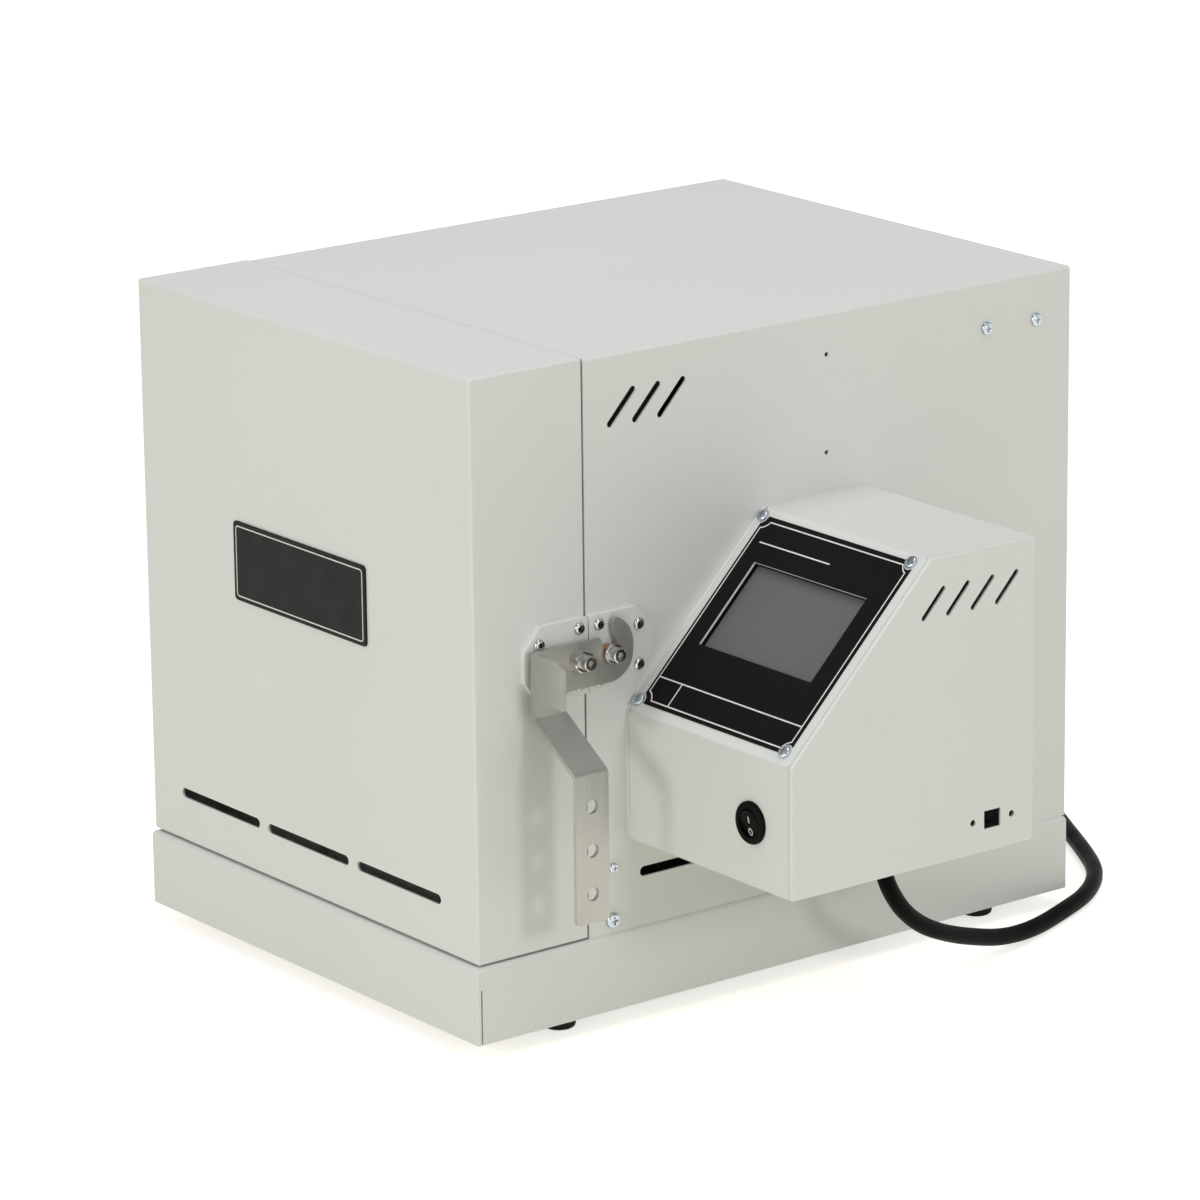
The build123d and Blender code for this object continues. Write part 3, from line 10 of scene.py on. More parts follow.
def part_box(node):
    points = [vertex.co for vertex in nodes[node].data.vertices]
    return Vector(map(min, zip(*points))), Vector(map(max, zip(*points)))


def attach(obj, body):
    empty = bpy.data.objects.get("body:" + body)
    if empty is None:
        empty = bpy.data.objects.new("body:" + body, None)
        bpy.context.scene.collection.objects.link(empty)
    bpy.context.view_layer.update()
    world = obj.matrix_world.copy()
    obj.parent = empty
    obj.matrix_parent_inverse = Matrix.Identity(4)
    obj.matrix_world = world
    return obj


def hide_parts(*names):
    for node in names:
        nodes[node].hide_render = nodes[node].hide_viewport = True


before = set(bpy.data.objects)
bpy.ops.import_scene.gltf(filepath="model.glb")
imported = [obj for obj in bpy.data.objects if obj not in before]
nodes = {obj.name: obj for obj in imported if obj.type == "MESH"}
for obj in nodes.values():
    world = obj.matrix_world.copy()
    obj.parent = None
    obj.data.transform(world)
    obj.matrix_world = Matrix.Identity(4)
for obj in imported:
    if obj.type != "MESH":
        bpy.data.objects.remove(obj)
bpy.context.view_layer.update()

# Sizes repeated from the oven's solids: the cabinet, the control box and its label
right_x = 0.1015
mid_x = -0.0735
box_front_y = -0.121
slope_z = 0.2007
slope_angle = atan2(0.1083, 0.107)
label_top = 0.0005

# The rocker's face stands this far in front of the box and leans back by its tilt, in degrees
rocker_face_y = -0.00195
rocker_tilt = 12.0

# The latch plates' screws: socket, depth of its bottom, the top of a head, and the space that one head takes
socket_radius = 0.0014
socket_floor = 0.00138
head_top = 0.0012
head_spread = 0.011

# The chamber, its bricks' front and the elements in its side walls
chamber_z = 0.2385
chamber_half = 0.1016
chamber_back_y = 0.0791
brick_front_y = -0.1495
element_end_y = 0.1796
element_rows = 4
element_pitch = 0.028
element_inset = 0.022
element_sink = 0.0034
wire_diameter = 0.0014
coil_diameter = 0.0072
coil_pitch = 0.0042

cord_diameter = 0.011
print_height = 0.00006

# Photograph's camera: place in metres, angles in degrees, focal length in pixels of its width
camera_place = (2.8673, -2.2549, 1.2638)
camera_yaw, camera_pitch, camera_roll = -52.595, 15.892, -0.659
focal_pixels = 6042.0
photo_width = 1200.0
sensor_width = 36.0


# Camera
def place_camera():
    """The photograph's camera, from the vanishing lines of the cabinet's edges."""
    yaw, pitch, roll = radians(camera_yaw), radians(camera_pitch), radians(camera_roll)
    forward = Vector((sin(yaw) * cos(pitch), cos(yaw) * cos(pitch), -sin(pitch)))
    level = Vector((cos(yaw), -sin(yaw), 0.0))
    upright = level.cross(forward)
    right = level * cos(roll) + upright * sin(roll)
    up = upright * cos(roll) - level * sin(roll)
    lens = bpy.data.cameras.new("photo_camera")
    lens.sensor_width = sensor_width
    lens.sensor_fit = "HORIZONTAL"
    lens.lens = focal_pixels * sensor_width / photo_width
    lens.clip_end = 60.0
    camera = bpy.data.objects.new("photo_camera", lens)
    bpy.context.scene.collection.objects.link(camera)
    turn = Matrix((right, up, -forward)).transposed().to_4x4()
    camera.matrix_world = Matrix.Translation(camera_place) @ turn
    bpy.context.scene.camera = camera


place_camera()


# Node trees
def add_node(tree, kind, inputs=(), **settings):
    """One node with its settings; each input is a value or another node's output."""
    made = tree.nodes.new(kind)
    for key, value in settings.items():
        setattr(made, key, value)
    for key, value in dict(inputs).items():
        if isinstance(value, bpy.types.NodeSocket):
            tree.links.new(value, made.inputs[key])
        else:
            made.inputs[key].default_value = value
    return made


def new_group(name, inputs, outputs):
    """An empty shader node group with named sockets, and its input and output nodes."""
    tree = bpy.data.node_groups.new(name, "ShaderNodeTree")
    for label, value in inputs.items():
        kind = "NodeSocketFloat"
        if isinstance(value, tuple):
            kind = "NodeSocketColor" if len(value) == 4 else "NodeSocketVector"
        tree.interface.new_socket(label, in_out="INPUT", socket_type=kind).default_value = value
    for label in outputs:
        kind = "NodeSocketColor" if label == "Color" else "NodeSocketFloat"
        tree.interface.new_socket(label, in_out="OUTPUT", socket_type=kind)
    return tree, tree.nodes.new("NodeGroupInput"), tree.nodes.new("NodeGroupOutput")


def ranged(tree, value, low, high, start=0.0, stop=1.0):
    """A value from start to stop spread over low to high."""
    return add_node(
        tree,
        "ShaderNodeMapRange",
        {"Value": value, "From Min": start, "From Max": stop, "To Min": low, "To Max": high},
    ).outputs["Result"]


def combined(tree, operation, first, second):
    """Two values joined by one math operation."""
    return add_node(tree, "ShaderNodeMath", {0: first, 1: second}, operation=operation).outputs[0]


def noise(tree, place, scale, detail):
    """Noise on the object's own coordinates."""
    settings = {"Vector": place, "Scale": scale, "Detail": detail}
    return add_node(tree, "ShaderNodeTexNoise", settings).outputs["Fac"]


def toned(tree, color, amount, shade):
    """A colour darkened by a grey shade, as strongly as amount says."""
    mix = add_node(tree, "ShaderNodeMix", data_type="RGBA", blend_type="MULTIPLY")
    tree.links.new(amount, mix.inputs["Factor"])
    tree.links.new(color, mix.inputs["A"])
    tree.links.new(shade, mix.inputs["B"])
    return mix.outputs["Result"]


def finish_group(tree, given, result, shade, roughness, height):
    """Link a skin group's toned colour, its roughness and its height to its outputs."""
    color = toned(tree, given.outputs["Color"], given.outputs["Tone Change"], shade)
    tree.links.new(color, result.inputs["Color"])
    tree.links.new(roughness, result.inputs["Roughness"])
    tree.links.new(height, result.inputs["Height"])


def powder_coat_skin():
    """Sprayed powder coat: fine orange peel, and a slow change of tone from panel to panel."""
    tree, given, result = new_group(
        "Powder Coat Skin",
        {"Color": (0.7, 0.7, 0.66, 1.0), "Tone Change": 0.06, "Peel Size": 520.0, "Roughness": 0.42},
        ("Color", "Roughness", "Height"),
    )
    place = add_node(tree, "ShaderNodeTexCoord").outputs["Object"]
    peel = noise(tree, place, given.outputs["Peel Size"], 2.0)
    wide = noise(tree, place, 5.0, 3.0)
    speck = noise(tree, place, 1900.0, 1.0)
    blend = combined(
        tree, "MULTIPLY", ranged(tree, wide, 0.55, 1.0, 0.3, 0.7), ranged(tree, speck, 0.9, 1.05)
    )
    rough = combined(tree, "ADD", given.outputs["Roughness"], ranged(tree, peel, -0.06, 0.06, 0.3, 0.7))
    finish_group(tree, given, result, blend, rough, peel)
    return tree


def brushed_skin():
    """Brushed metal: long fine scratches, whose stretch is set per piece, and faint cloudy tone."""
    tree, given, result = new_group(
        "Brushed Skin",
        {
            "Color": (0.5, 0.5, 0.48, 1.0),
            "Tone Change": 0.35,
            "Stretch": (2200.0, 2200.0, 14.0),
            "Roughness": 0.34,
        },
        ("Color", "Roughness", "Height"),
    )
    place = add_node(tree, "ShaderNodeTexCoord").outputs["Object"]
    stretch = {0: place, 1: given.outputs["Stretch"]}
    lines = add_node(tree, "ShaderNodeVectorMath", stretch, operation="MULTIPLY").outputs[0]
    grain = noise(tree, lines, 1.0, 4.0)
    cloud = noise(tree, place, 45.0, 2.0)
    blend = combined(
        tree, "MULTIPLY", ranged(tree, grain, 0.55, 1.0, 0.3, 0.7), ranged(tree, cloud, 0.8, 1.0, 0.3, 0.7)
    )
    rough = combined(tree, "ADD", given.outputs["Roughness"], ranged(tree, grain, -0.1, 0.1, 0.3, 0.7))
    finish_group(tree, given, result, blend, rough, grain)
    return tree


def moulded_skin():
    """Moulded plastic, rubber, film and plating: a fine even grain with a little uneven gloss."""
    tree, given, result = new_group(
        "Moulded Skin",
        {"Color": (0.03, 0.03, 0.03, 1.0), "Tone Change": 0.2, "Grain Size": 1400.0, "Roughness": 0.5},
        ("Color", "Roughness", "Height"),
    )
    place = add_node(tree, "ShaderNodeTexCoord").outputs["Object"]
    grain = noise(tree, place, given.outputs["Grain Size"], 3.0)
    wide = noise(tree, place, 60.0, 2.0)
    blend = ranged(tree, wide, 0.5, 1.0, 0.3, 0.7)
    rough = combined(tree, "ADD", given.outputs["Roughness"], ranged(tree, wide, -0.05, 0.07, 0.3, 0.7))
    finish_group(tree, given, result, blend, rough, grain)
    return tree


def porous_skin():
    """Fire brick and fibre board: open pores, specks and warm patches."""
    tree, given, result = new_group(
        "Porous Skin",
        {"Color": (0.8, 0.74, 0.6, 1.0), "Tone Change": 0.5, "Pore Size": 420.0, "Roughness": 0.9},
        ("Color", "Roughness", "Height"),
    )
    place = add_node(tree, "ShaderNodeTexCoord").outputs["Object"]
    cells = {"Vector": place, "Scale": given.outputs["Pore Size"], "Randomness": 1.0}
    pores = add_node(tree, "ShaderNodeTexVoronoi", cells).outputs["Distance"]
    grit = noise(tree, place, 900.0, 4.0)
    patch = noise(tree, place, 14.0, 4.0)
    hollow = ranged(tree, pores, 0.35, 1.0, 0.05, 0.45)
    blend = combined(tree, "MULTIPLY", hollow, ranged(tree, patch, 0.7, 1.0, 0.3, 0.7))
    height = combined(tree, "ADD", hollow, ranged(tree, grit, 0.0, 0.35))
    finish_group(tree, given, result, blend, ranged(tree, grit, 0.85, 1.0), height)
    return tree


powder_skin = powder_coat_skin()
metal_skin = brushed_skin()
plain_skin = moulded_skin()
brick_skin = porous_skin()


def make_finish(name, skin, color, roughness, depth, metallic=0.0, values=(), **plain):
    """A material: one skin group feeding the surface, with bumps that are depth metres high."""
    material = bpy.data.materials.new(name)
    material.use_nodes = True
    tree = material.node_tree
    surface = tree.nodes["Principled BSDF"]
    surface.inputs["Metallic"].default_value = metallic
    for key, value in plain.items():
        surface.inputs[key.replace("_", " ")].default_value = value
    given = {"Color": (*color, 1.0), "Roughness": roughness, **dict(values)}
    worked = add_node(tree, "ShaderNodeGroup", {}, node_tree=skin)
    for key, value in given.items():
        worked.inputs[key].default_value = value
    tree.links.new(worked.outputs["Color"], surface.inputs["Base Color"])
    tree.links.new(worked.outputs["Roughness"], surface.inputs["Roughness"])
    relief = {"Height": worked.outputs["Height"], "Distance": depth, "Strength": 1.0}
    bump = add_node(tree, "ShaderNodeBump", relief)
    tree.links.new(bump.outputs["Normal"], surface.inputs["Normal"])
    return material


# Finishes
powder_coat = make_finish("powder_coat", powder_skin, (0.690, 0.702, 0.682), 0.42, 0.00003)
lever_steel = make_finish(
    "lever_steel",
    metal_skin,
    (0.465, 0.462, 0.428),
    0.40,
    0.000008,
    0.72,
    {"Stretch": (2600.0, 2600.0, 16.0)},
)
polished_steel = make_finish(
    "polished_steel",
    metal_skin,
    (0.66, 0.65, 0.63),
    0.16,
    0.000006,
    1.0,
    {"Stretch": (20.0, 1800.0, 1800.0)},
)
hinge_steel = make_finish("hinge_steel", metal_skin, (0.55, 0.56, 0.57), 0.34, 0.00001, 1.0)
zinc = make_finish("zinc", plain_skin, (0.58, 0.63, 0.68), 0.24, 0.000008, 1.0, {"Grain Size": 2600.0})
bronze = make_finish(
    "bronze", metal_skin, (0.56, 0.33, 0.19), 0.30, 0.000008, 1.0, {"Stretch": (30.0, 2000.0, 2000.0)}
)
label_film = make_finish(
    "label_film", plain_skin, (0.006, 0.006, 0.006), 0.5, 0.00001, Specular_IOR_Level=0.08
)
label_ink = make_finish("label_ink", plain_skin, (0.72, 0.72, 0.70), 0.5, 0.000004)
badge_face = make_finish(
    "badge_face", plain_skin, (0.009, 0.009, 0.009), 0.5, 0.00001, Specular_IOR_Level=0.13
)
screen_grey = make_finish(
    "screen_grey",
    plain_skin,
    (0.124, 0.130, 0.126),
    0.4,
    0.000001,
    values={"Tone Change": 0.04},
    Specular_IOR_Level=0.3,
)
black_plastic = make_finish(
    "black_plastic", plain_skin, (0.004, 0.004, 0.004), 0.34, 0.000008, Specular_IOR_Level=0.05
)
# Painted shade for the bottoms of the latch plates' screw sockets
painted_socket_shade = make_finish(
    "painted_socket_shade", plain_skin, (0.006, 0.006, 0.006), 0.7, 0.000004, Specular_IOR_Level=0.05
)
rubber = make_finish("rubber", plain_skin, (0.010, 0.010, 0.010), 0.62, 0.00004, Specular_IOR_Level=0.15)
cord_jacket = make_finish(
    "cord_jacket", plain_skin, (0.003, 0.003, 0.003), 0.4, 0.00001, Specular_IOR_Level=0.03
)
brass = make_finish("brass", metal_skin, (0.78, 0.6, 0.3), 0.25, 0.000005, 1.0)
fire_brick = make_finish("fire_brick", brick_skin, (0.80, 0.73, 0.58), 0.9, 0.0005)
pale_pores = {"Pore Size": 1500.0, "Tone Change": 0.2}
dark_pores = {"Pore Size": 1500.0, "Tone Change": 0.3}
fibre_board = make_finish("fibre_board", brick_skin, (0.86, 0.85, 0.80), 0.95, 0.0002, values=pale_pores)
# Painted shade: the chamber's and the door's insulation boards are coloured near black, so the vents and the
# inside of the cabinet show dark where shade falls inside
painted_shade_board = make_finish("painted_shade_board", brick_skin, (0.020, 0.019, 0.018), 0.95, 0.0002, values=dark_pores)
element_wire = make_finish("element_wire", plain_skin, (0.16, 0.145, 0.135), 0.5, 0.00002, 0.9)
glazed = make_finish("glazed", plain_skin, (0.80, 0.78, 0.72), 0.2, 0.00001)
sheath_steel = make_finish("sheath_steel", metal_skin, (0.34, 0.31, 0.28), 0.34, 0.00001, 1.0)
board_green = make_finish("board_green", plain_skin, (0.02, 0.14, 0.06), 0.3, 0.00001)
sink_alloy = make_finish("sink_alloy", metal_skin, (0.7, 0.71, 0.72), 0.3, 0.00001, 1.0)

finish_of = {
    powder_coat: (
        "base_pan cabinet_wrap cabinet_floor front_frame rear_panel rear_brace door_skin door_frame"
        " control_box_band control_box_cover control_box_tray pivot_plate keeper_plate"
    ),
    lever_steel: "latch_lever",
    polished_steel: (
        "pivot_collar pivot_bolt pivot_spacer striker_bolt striker_washer keeper_screws"
        " pivot_plate_screws"
    ),
    hinge_steel: "hinge_body_leaves hinge_door_leaves hinge_pins",
    zinc: "cabinet_screws box_screws panel_screws hinge_door_screws",
    bronze: "striker_bush",
    label_film: "panel_label",
    badge_face: "badge_plate",
    screen_grey: "screen_pane",
    black_plastic: (
        "screen_frame switch_body switch_rocker cord_gland heater_relay terminal_strip plug_body"
    ),
    rubber: "rubber_feet wire_grommet",
    brass: "plug_blades",
    fire_brick: "side_bricks hearth_bricks roof_bricks rear_brick door_brick",
    fibre_board: "rear_insulation",
    # the insulation boards carry painted shade
    painted_shade_board: "chamber_insulation door_insulation",
    element_wire: "heating_elements",
    glazed: "element_bushings",
    sheath_steel: "thermocouple",
    board_green: "controller_board display_module",
    sink_alloy: "heat_sink",
    cord_jacket: "cord_run cord_coil cord_tail",
}
for material, names in finish_of.items():
    for name in names.split():
        for slot in nodes[name].material_slots:
            slot.material = material


# Pieces made here
def link_mesh(name, points, faces, material, body):
    """A mesh piece that rides on a body and takes its finish from a slot of the record."""
    mesh = bpy.data.meshes.new(name)
    mesh.from_pydata([tuple(p) for p in points], [], faces)
    mesh.validate()
    mesh.materials.append(material)
    piece = bpy.data.objects.new(name, mesh)
    bpy.context.scene.collection.objects.link(piece)
    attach(piece, body)
    return piece


def arc(centre, radius, start, stop, steps=10):
    """Points on an arc, in degrees from the first direction."""
    return [
        (centre[0] + radius * cos(radians(a)), centre[1] + radius * sin(radians(a)))
        for a in (start + (stop - start) * i / steps for i in range(steps + 1))
    ]


def offset_line(points, gap, closed):
    """The same line moved sideways by gap, mitred at its corners."""
    moved = []
    count = len(points)
    for i, at in enumerate(points):
        before = Vector(points[i - 1]) if closed or i > 0 else None
        after = Vector(points[(i + 1) % count]) if closed or i < count - 1 else None
        here = Vector(at)
        ahead = (after - here).normalized() if after is not None else (here - before).normalized()
        behind = (here - before).normalized() if before is not None else ahead
        side = Vector((-(ahead + behind).y, (ahead + behind).x)).normalized()
        square = Vector((-ahead.y, ahead.x))
        moved.append(here + side * (gap / max(side.dot(square), 0.4)))
    return moved


def printed_line(name, points, width, face, material, body, closed=False):
    """A printed line as a thin raised band. face is (origin, across, up, out)."""
    origin, across, up, out = face
    left = offset_line(points, width / 2, closed)
    right = offset_line(points, -width / 2, closed)
    rows = []
    for lift in (0.0, print_height):
        for edge in (left, right):
            rows.append([origin + across * p.x + up * p.y + out * lift for p in edge])
    count = len(points)
    verts = [p for row in rows for p in row]
    low_left, low_right, high_left, high_right = (i * count for i in range(4))
    faces = []
    for i in range(count if closed else count - 1):
        j = (i + 1) % count
        faces.append((high_left + i, high_right + i, high_right + j, high_left + j))
        faces.append((low_left + i, low_left + j, low_right + j, low_right + i))
        faces.append((low_left + i, high_left + i, high_left + j, low_left + j))
        faces.append((low_right + i, low_right + j, high_right + j, high_right + i))
    if not closed:
        for i in (0, count - 1):
            end = (low_left + i, low_right + i, high_right + i, high_left + i)
            faces.append(end if i == 0 else end[::-1])
    return link_mesh(name, verts, faces, material, body)


slope_up = Vector((0.0, cos(slope_angle), sin(slope_angle)))
slope_out = Vector((0.0, -sin(slope_angle), cos(slope_angle)))
label_face = (
    Vector((right_x, box_front_y, slope_z)) + slope_out * label_top,
    Vector((1.0, 0.0, 0.0)),
    slope_up,
    slope_out,
)


def label_lines():
    """The printed frame with its scooped corners, and the rules of the title and the bottom strip."""
    left, right, low, high = 0.0098, 0.1450, 0.0100, 0.1434
    corners = ((0.0076, 0.0070), (0.1480, 0.0070), (0.1480, 0.1470), (0.0076, 0.1470))
    scoop = 0.0090
    outline = []
    for (x, y), side_x, side_y in zip(corners, (left, right, right, left), (low, low, high, high)):
        reach_x = atan2(side_y - y, sqrt(scoop**2 - (side_y - y) ** 2) * (1 if side_x == left else -1))
        reach_y = atan2(sqrt(scoop**2 - (side_x - x) ** 2) * (1 if side_y == low else -1), side_x - x)
        turn = (reach_x - reach_y + pi) % (2 * pi) - pi
        bend = [
            (x + scoop * cos(reach_y + turn * i / 10), y + scoop * sin(reach_y + turn * i / 10))
            for i in range(11)
        ]
        forward = (side_x, side_y) in ((left, low), (right, high))
        outline += bend if forward else bend[::-1]
    width = 0.0009
    printed_line("label_frame_line", outline, width, label_face, label_ink, "cabinet", True)
    rules = {
        "label_title_rule": ((0.0170, 0.1292), (0.0835, 0.1292)),
        "label_strip_rule": ((left + width / 2, 0.0266), (right - width / 2, 0.0266)),
        "label_strip_divider": ((0.0320, low + width / 2), (0.0320, 0.0262)),
    }
    for name, ends in rules.items():
        printed_line(name, ends, width, label_face, label_ink, "cabinet")


label_lines()


def badge_line():
    """The light border printed just inside the badge's edge."""
    low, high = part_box("badge_plate")
    inset, corner = 0.0030, 0.0022
    half_x = (high[0] - low[0]) / 2 - inset
    half_z = (high[2] - low[2]) / 2 - inset
    middle = Vector(((low[0] + high[0]) / 2, low[1], (low[2] + high[2]) / 2))
    outline = []
    for (sx, sz), start in zip(((1, 1), (-1, 1), (-1, -1), (1, -1)), (0, 90, 180, 270)):
        outline += arc((sx * (half_x - corner), sz * (half_z - corner)), corner, start, start + 90, 5)
    face = (middle, Vector((1.0, 0.0, 0.0)), Vector((0.0, 0.0, 1.0)), Vector((0.0, -1.0, 0.0)))
    printed_line("badge_border_line", outline, 0.0008, face, label_ink, "door", True)


badge_line()


def screw_heads(points, head_x):
    """The points near the tops of a row of screw heads, grouped by head."""
    groups = []
    for p in points:
        if p.x < head_x - head_top:
            continue
        for group in groups:
            if (Vector(group[0][1:]) - Vector(p[1:])).length < head_spread:
                group.append(p)
                break
        else:
            groups.append([p])
    return groups


def paint_socket_shades():
    """Painted shade: a dark hexagon on the bottom of each socket of the latch plates' screws, standing for
    the shade inside the socket.
    """
    for node, body in (("pivot_plate_screws", "door"), ("keeper_screws", "cabinet")):
        corners = [nodes[node].matrix_world @ v.co for v in nodes[node].data.vertices]
        head_x = max(p.x for p in corners)
        verts, faces = [], []
        for group in screw_heads(corners, head_x):
            middle_y = (min(p.y for p in group) + max(p.y for p in group)) / 2
            middle_z = (min(p.z for p in group) + max(p.z for p in group)) / 2
            start = len(verts)
            for depth in (socket_floor, socket_floor - print_height):
                for k in range(6):
                    y = middle_y + socket_radius * cos(pi * k / 3)
                    z = middle_z + socket_radius * sin(pi * k / 3)
                    verts.append((head_x - depth, y, z))
            faces.append([start + 6 + k for k in range(6)])
            faces.append([start + 5 - k for k in range(6)])
            for k in range(6):
                after = (k + 1) % 6
                faces.append((start + k, start + after, start + 6 + after, start + 6 + k))
        # One piece of painted shade for the sockets of each row of screws
        link_mesh(f"{node}_sockets", verts, faces, painted_socket_shade, body)


paint_socket_shades()


# Wound heating elements
def element_coils():
    """Resistance wire wound into a spring along each element's up-and-back route."""
    rows, pitch, end_y = element_rows, element_pitch, element_end_y
    front = brick_front_y + element_inset + pitch / 2
    back = chamber_back_y - element_inset
    for side, name in ((-1, "element_coil_left"), (1, "element_coil_right")):
        x = mid_x + side * (chamber_half + element_sink)
        route = []
        for i in range(rows):
            z = chamber_z + (i - (rows - 1) / 2) * pitch
            forward = i % 2 == 0
            start = end_y if i == 0 else (back if forward else front)
            stop = end_y if i == rows - 1 else (front if forward else back)
            steps = max(2, ceil(abs(stop - start) / 0.004))
            route += [(start + (stop - start) * k / steps, z) for k in range(steps + 1)]
            if i < rows - 1:
                bulge = -1 if forward else 1
                route += [
                    (stop + bulge * pitch / 2 * sin(pi * k / 12), z + pitch / 2 * (1 - cos(pi * k / 12)))
                    for k in range(1, 12)
                ]
        lengths = [0.0]
        for a, b in zip(route, route[1:]):
            lengths.append(lengths[-1] + sqrt((b[0] - a[0]) ** 2 + (b[1] - a[1]) ** 2))
        turns = int(lengths[-1] / coil_pitch)
        per_turn = 10
        centre_radius = (coil_diameter - wire_diameter) / 2
        line, at = [], 0
        for k in range(turns * per_turn + 1):
            along = lengths[-1] * k / (turns * per_turn)
            while at < len(lengths) - 2 and lengths[at + 1] < along:
                at += 1
            share = (along - lengths[at]) / (lengths[at + 1] - lengths[at])
            a, b = route[at], route[at + 1]
            direction = Vector((0.0, b[0] - a[0], b[1] - a[1])).normalized()
            middle = Vector((x, a[0] + (b[0] - a[0]) * share, a[1] + (b[1] - a[1]) * share))
            outward = Vector((1.0, 0.0, 0.0))
            across = direction.cross(outward)
            angle = 2 * pi * k / per_turn
            line.append(middle + (outward * cos(angle) + across * sin(angle)) * centre_radius)
        round_wire(name, line, wire_diameter / 2)
    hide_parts("heating_elements")
    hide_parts("heating_elements")


def round_wire(name, line, radius):
    """A bevelled curve through points, as a wire of that radius."""
    curve = bpy.data.curves.new(name, "CURVE")
    curve.dimensions = "3D"
    curve.bevel_depth = radius
    curve.bevel_resolution = 1
    curve.resolution_u = 1
    spline = curve.splines.new("POLY")
    spline.points.add(len(line) - 1)
    for point, place in zip(spline.points, line):
        point.co = (*place, 1.0)
    curve.materials.append(element_wire)
    piece = bpy.data.objects.new(name, curve)
    bpy.context.scene.collection.objects.link(piece)
    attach(piece, "cabinet")
    return piece


element_coils()


# Switch marks
def rocker_marks():
    """The stroke above and the oval ring below that mark the rocker's two ends."""
    low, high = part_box("switch_rocker")
    centre = Vector(((low[0] + high[0]) / 2, box_front_y, (low[2] + high[2]) / 2))
    lean = radians(-rocker_tilt)
    half = (high[2] - low[2]) / 2
    lower, above_face = 0.0018, 0.00001
    half_stroke, ring_radius = 0.0021, 0.0019
    ring = [(0.8 * a, 1.15 * b) for a, b in arc((0.0, 0.0), ring_radius, 0, 360, 24)[:-1]]
    marks = (
        ("switch_on_mark", 1, [(0.0, -half_stroke), (0.0, half_stroke)], 0.0009, False),
        ("switch_off_mark", -1, ring, 0.0008, True),
    )
    for name, sign, outline, width, closed in marks:
        up = Vector((0.0, sin(lean), cos(lean)))
        out = Vector((0.0, -cos(lean), sin(lean)))
        middle = centre + Vector((0.0, rocker_face_y, 0.0)) + up * (sign * half * 0.47 - lower)
        face = (middle + out * above_face, Vector((1.0, 0.0, 0.0)), up, out)
        printed_line(name, outline, width, face, label_ink, "switch_rocker", closed)


rocker_marks()


# Mains cord
def cord_line():
    """The cord's points: down from the gland, along the bench, round the coil and out to the plug."""
    floor, high = 0.0055, 0.0179
    coil_x, coil_y = mid_x - 0.100, 0.330
    outer, step, halves = 0.066, 0.00675, 3
    points = [
        (0.1815, 0.0120, 0.1258),
        (0.1815, 0.0120, 0.0930),
        (0.1790, 0.0275, 0.0645),
        (0.1740, 0.0500, 0.0450),
        (0.1670, 0.0780, 0.0310),
        (0.1570, 0.1120, 0.0185),
        (0.1485, 0.1420, 0.0095),
        (0.1395, 0.1760, floor),
        (0.1250, 0.2140, floor),
        (0.1090, 0.2500, floor),
        (0.0800, 0.2840, floor),
        (0.0380, 0.3090, floor),
        (-0.0080, 0.3330, floor),
        (-0.0500, 0.3560, floor),
        (-0.0920, 0.3760, floor),
        (-0.1320, coil_y + outer, floor),
        (coil_x + cord_diameter, coil_y + outer, floor),
    ]
    inward = [outer - k * step for k in range(halves + 1)]
    reaches = inward + inward[::-1]
    places = [
        (coil_y + (reach if k % 2 == 0 else -reach), floor if k <= halves else high)
        for k, reach in enumerate(reaches)
    ]
    per_half = 8
    for k, ((y0, z0), (y1, z1)) in enumerate(zip(places, places[1:])):
        side = -1 if k % 2 == 0 else 1
        centre, radius = (y0 + y1) / 2, abs(y1 - y0) / 2
        for i in range(per_half):
            angle = pi * (i + 0.5) / per_half
            flat = radius / cos(pi / per_half / 2)
            climb = 0.5 - 0.5 * cos(angle)
            points.append(
                (
                    coil_x + side * flat * sin(angle),
                    centre + (y0 - centre) / radius * flat * cos(angle),
                    z0 + (z1 - z0) * climb,
                )
            )
    last_y = places[-1][0]
    points += [
        (coil_x + cord_diameter, last_y, high),
        (coil_x + cord_diameter + 0.016, last_y, high),
        (coil_x + cord_diameter + 0.056, last_y, 0.0125),
        (coil_x + cord_diameter + 0.072, last_y, 0.0125),
    ]
    return points


def mains_cord():
    """One jacketed cord on a smooth spline, ending in its plug."""
    curve = bpy.data.curves.new("mains_cord", "CURVE")
    curve.dimensions = "3D"
    curve.bevel_depth = cord_diameter / 2
    curve.bevel_resolution = 6
    curve.use_fill_caps = True
    curve.resolution_u = 8
    points = cord_line()
    spline = curve.splines.new("NURBS")
    spline.points.add(len(points) - 1)
    for point, place in zip(spline.points, points):
        point.co = (*place, 1.0)
    spline.order_u = 3
    spline.use_endpoint_u = True
    curve.materials.append(cord_jacket)
    cord = bpy.data.objects.new("mains_cord", curve)
    bpy.context.scene.collection.objects.link(cord)
    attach(cord, "cabinet")
    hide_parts("cord_run", "cord_coil", "cord_tail")


mains_cord()


# Floor, light and surroundings
def looked_at(tree, path):
    """One for rays that show the surround: from the camera, through glass or off metal."""
    seen = combined(tree, "MAXIMUM", path.outputs["Is Camera Ray"], path.outputs["Is Transmission Ray"])
    return combined(tree, "MAXIMUM", seen, path.outputs["Is Glossy Ray"])


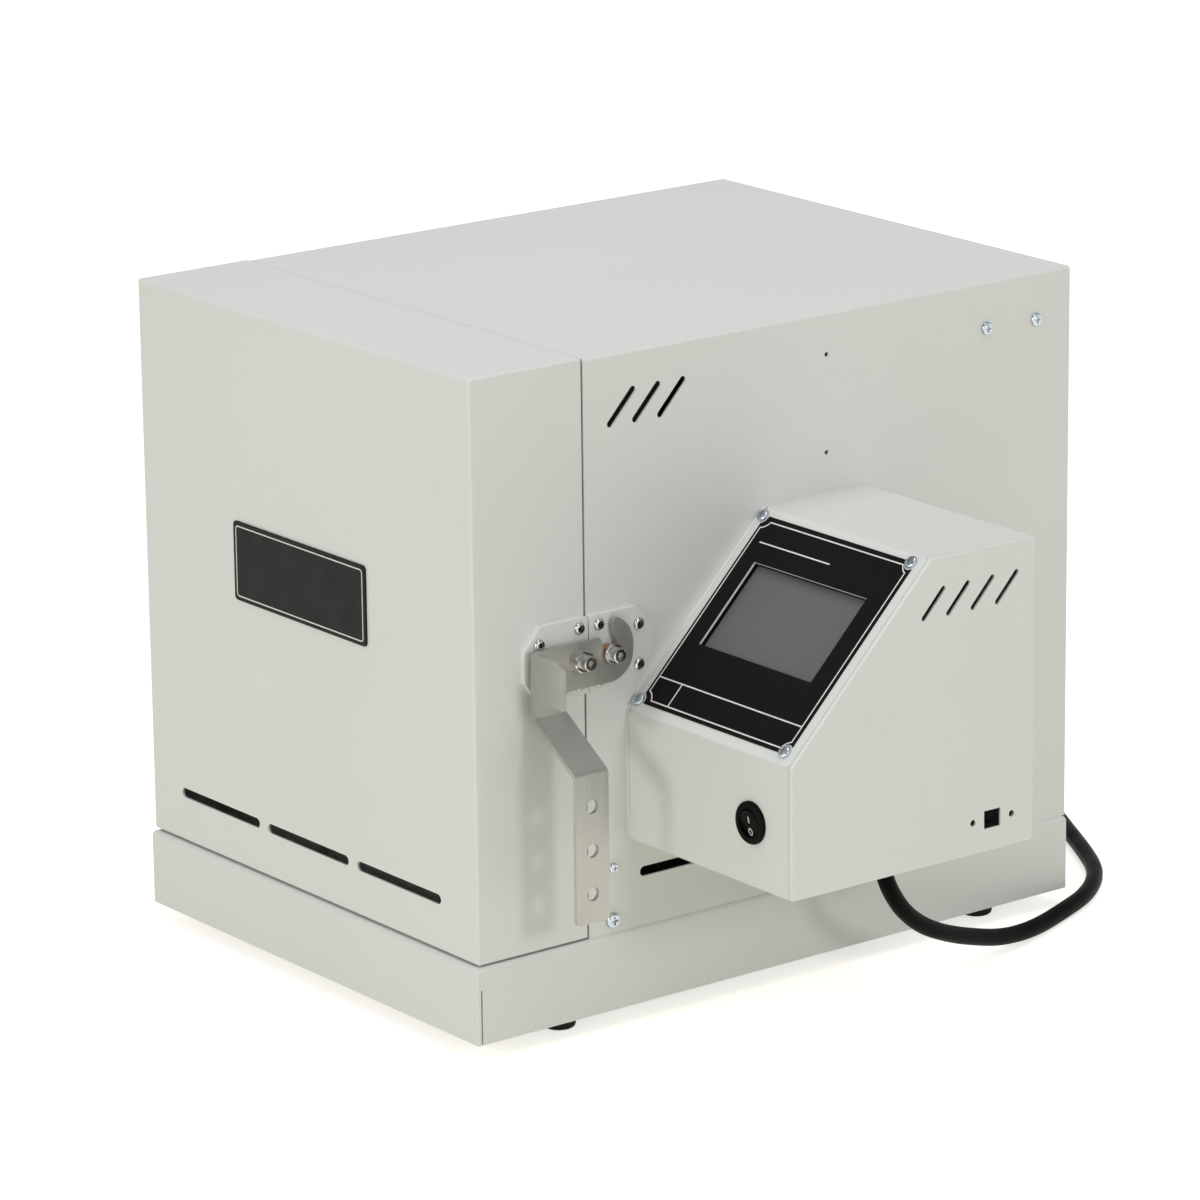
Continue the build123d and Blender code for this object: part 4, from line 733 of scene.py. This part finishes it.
def studio():
    """A white floor and a white surround, with soft lamps from the front, the right and above."""
    scene = bpy.context.scene
    scene.view_settings.view_transform = "Standard"

    mesh = bpy.data.meshes.new("floor")
    reach = 14.0
    corners = [(-reach, -reach, 0), (reach, -reach, 0), (reach, reach, 0), (-reach, reach, 0)]
    mesh.from_pydata(corners, [], [(0, 1, 2, 3)])
    paint = bpy.data.materials.new("floor_paint")
    paint.use_nodes = True
    tree = paint.node_tree
    surface = tree.nodes["Principled BSDF"]
    surface.inputs["Base Color"].default_value = (0.88, 0.85, 0.73, 1.0)
    surface.inputs["Roughness"].default_value = 1.0
    surface.inputs["Specular IOR Level"].default_value = 0.0
    surface.inputs["Emission Color"].default_value = (1.0, 1.0, 1.0, 1.0)
    seen = looked_at(tree, add_node(tree, "ShaderNodeLightPath"))
    tree.links.new(combined(tree, "MULTIPLY", seen, 0.62), surface.inputs["Emission Strength"])
    mesh.materials.append(paint)
    floor = bpy.data.objects.new("floor", mesh)
    scene.collection.objects.link(floor)

    world = bpy.data.worlds.new("studio")
    scene.world = world
    world.use_nodes = True
    tree = world.node_tree
    tree.nodes.clear()
    path = add_node(tree, "ShaderNodeLightPath")
    seen = looked_at(tree, path)
    soft = add_node(tree, "ShaderNodeBackground", {"Color": (1.0, 1.0, 1.0, 1.0), "Strength": 0.52})
    way = add_node(tree, "ShaderNodeTexCoord").outputs["Generated"]
    height = add_node(tree, "ShaderNodeSeparateXYZ", {"Vector": way}).outputs["Z"]
    overhead = ranged(tree, height, 1.0, 0.25, 0.1, 0.75)
    mirrored = ranged(tree, path.outputs["Is Glossy Ray"], 1.0, overhead)
    white = add_node(tree, "ShaderNodeBackground", {"Color": (1.0, 1.0, 1.0, 1.0), "Strength": mirrored})
    mix = add_node(tree, "ShaderNodeMixShader", {0: seen, 1: soft.outputs[0], 2: white.outputs[0]})
    out = add_node(tree, "ShaderNodeOutputWorld")
    tree.links.new(mix.outputs[0], out.inputs["Surface"])

    for name, spot, size, power in (
        ("front_lamp", (0.55, -3.3, 1.4), 0.8, 25.0),
        ("right_lamp", (2.6, 0.0, 1.1), 0.5, 11.0),
        ("top_lamp", (0.2, -0.2, 3.0), 2.2, 27.0),
    ):
        data = bpy.data.lights.new(name, "AREA")
        data.shape = "DISK"
        data.size = size
        data.energy = power
        lamp = bpy.data.objects.new(name, data)
        scene.collection.objects.link(lamp)
        aim = Vector((0.0, 0.0, 0.2)) - Vector(spot)
        lamp.matrix_world = Matrix.Translation(spot) @ aim.to_track_quat("-Z", "Y").to_matrix().to_4x4()


studio()
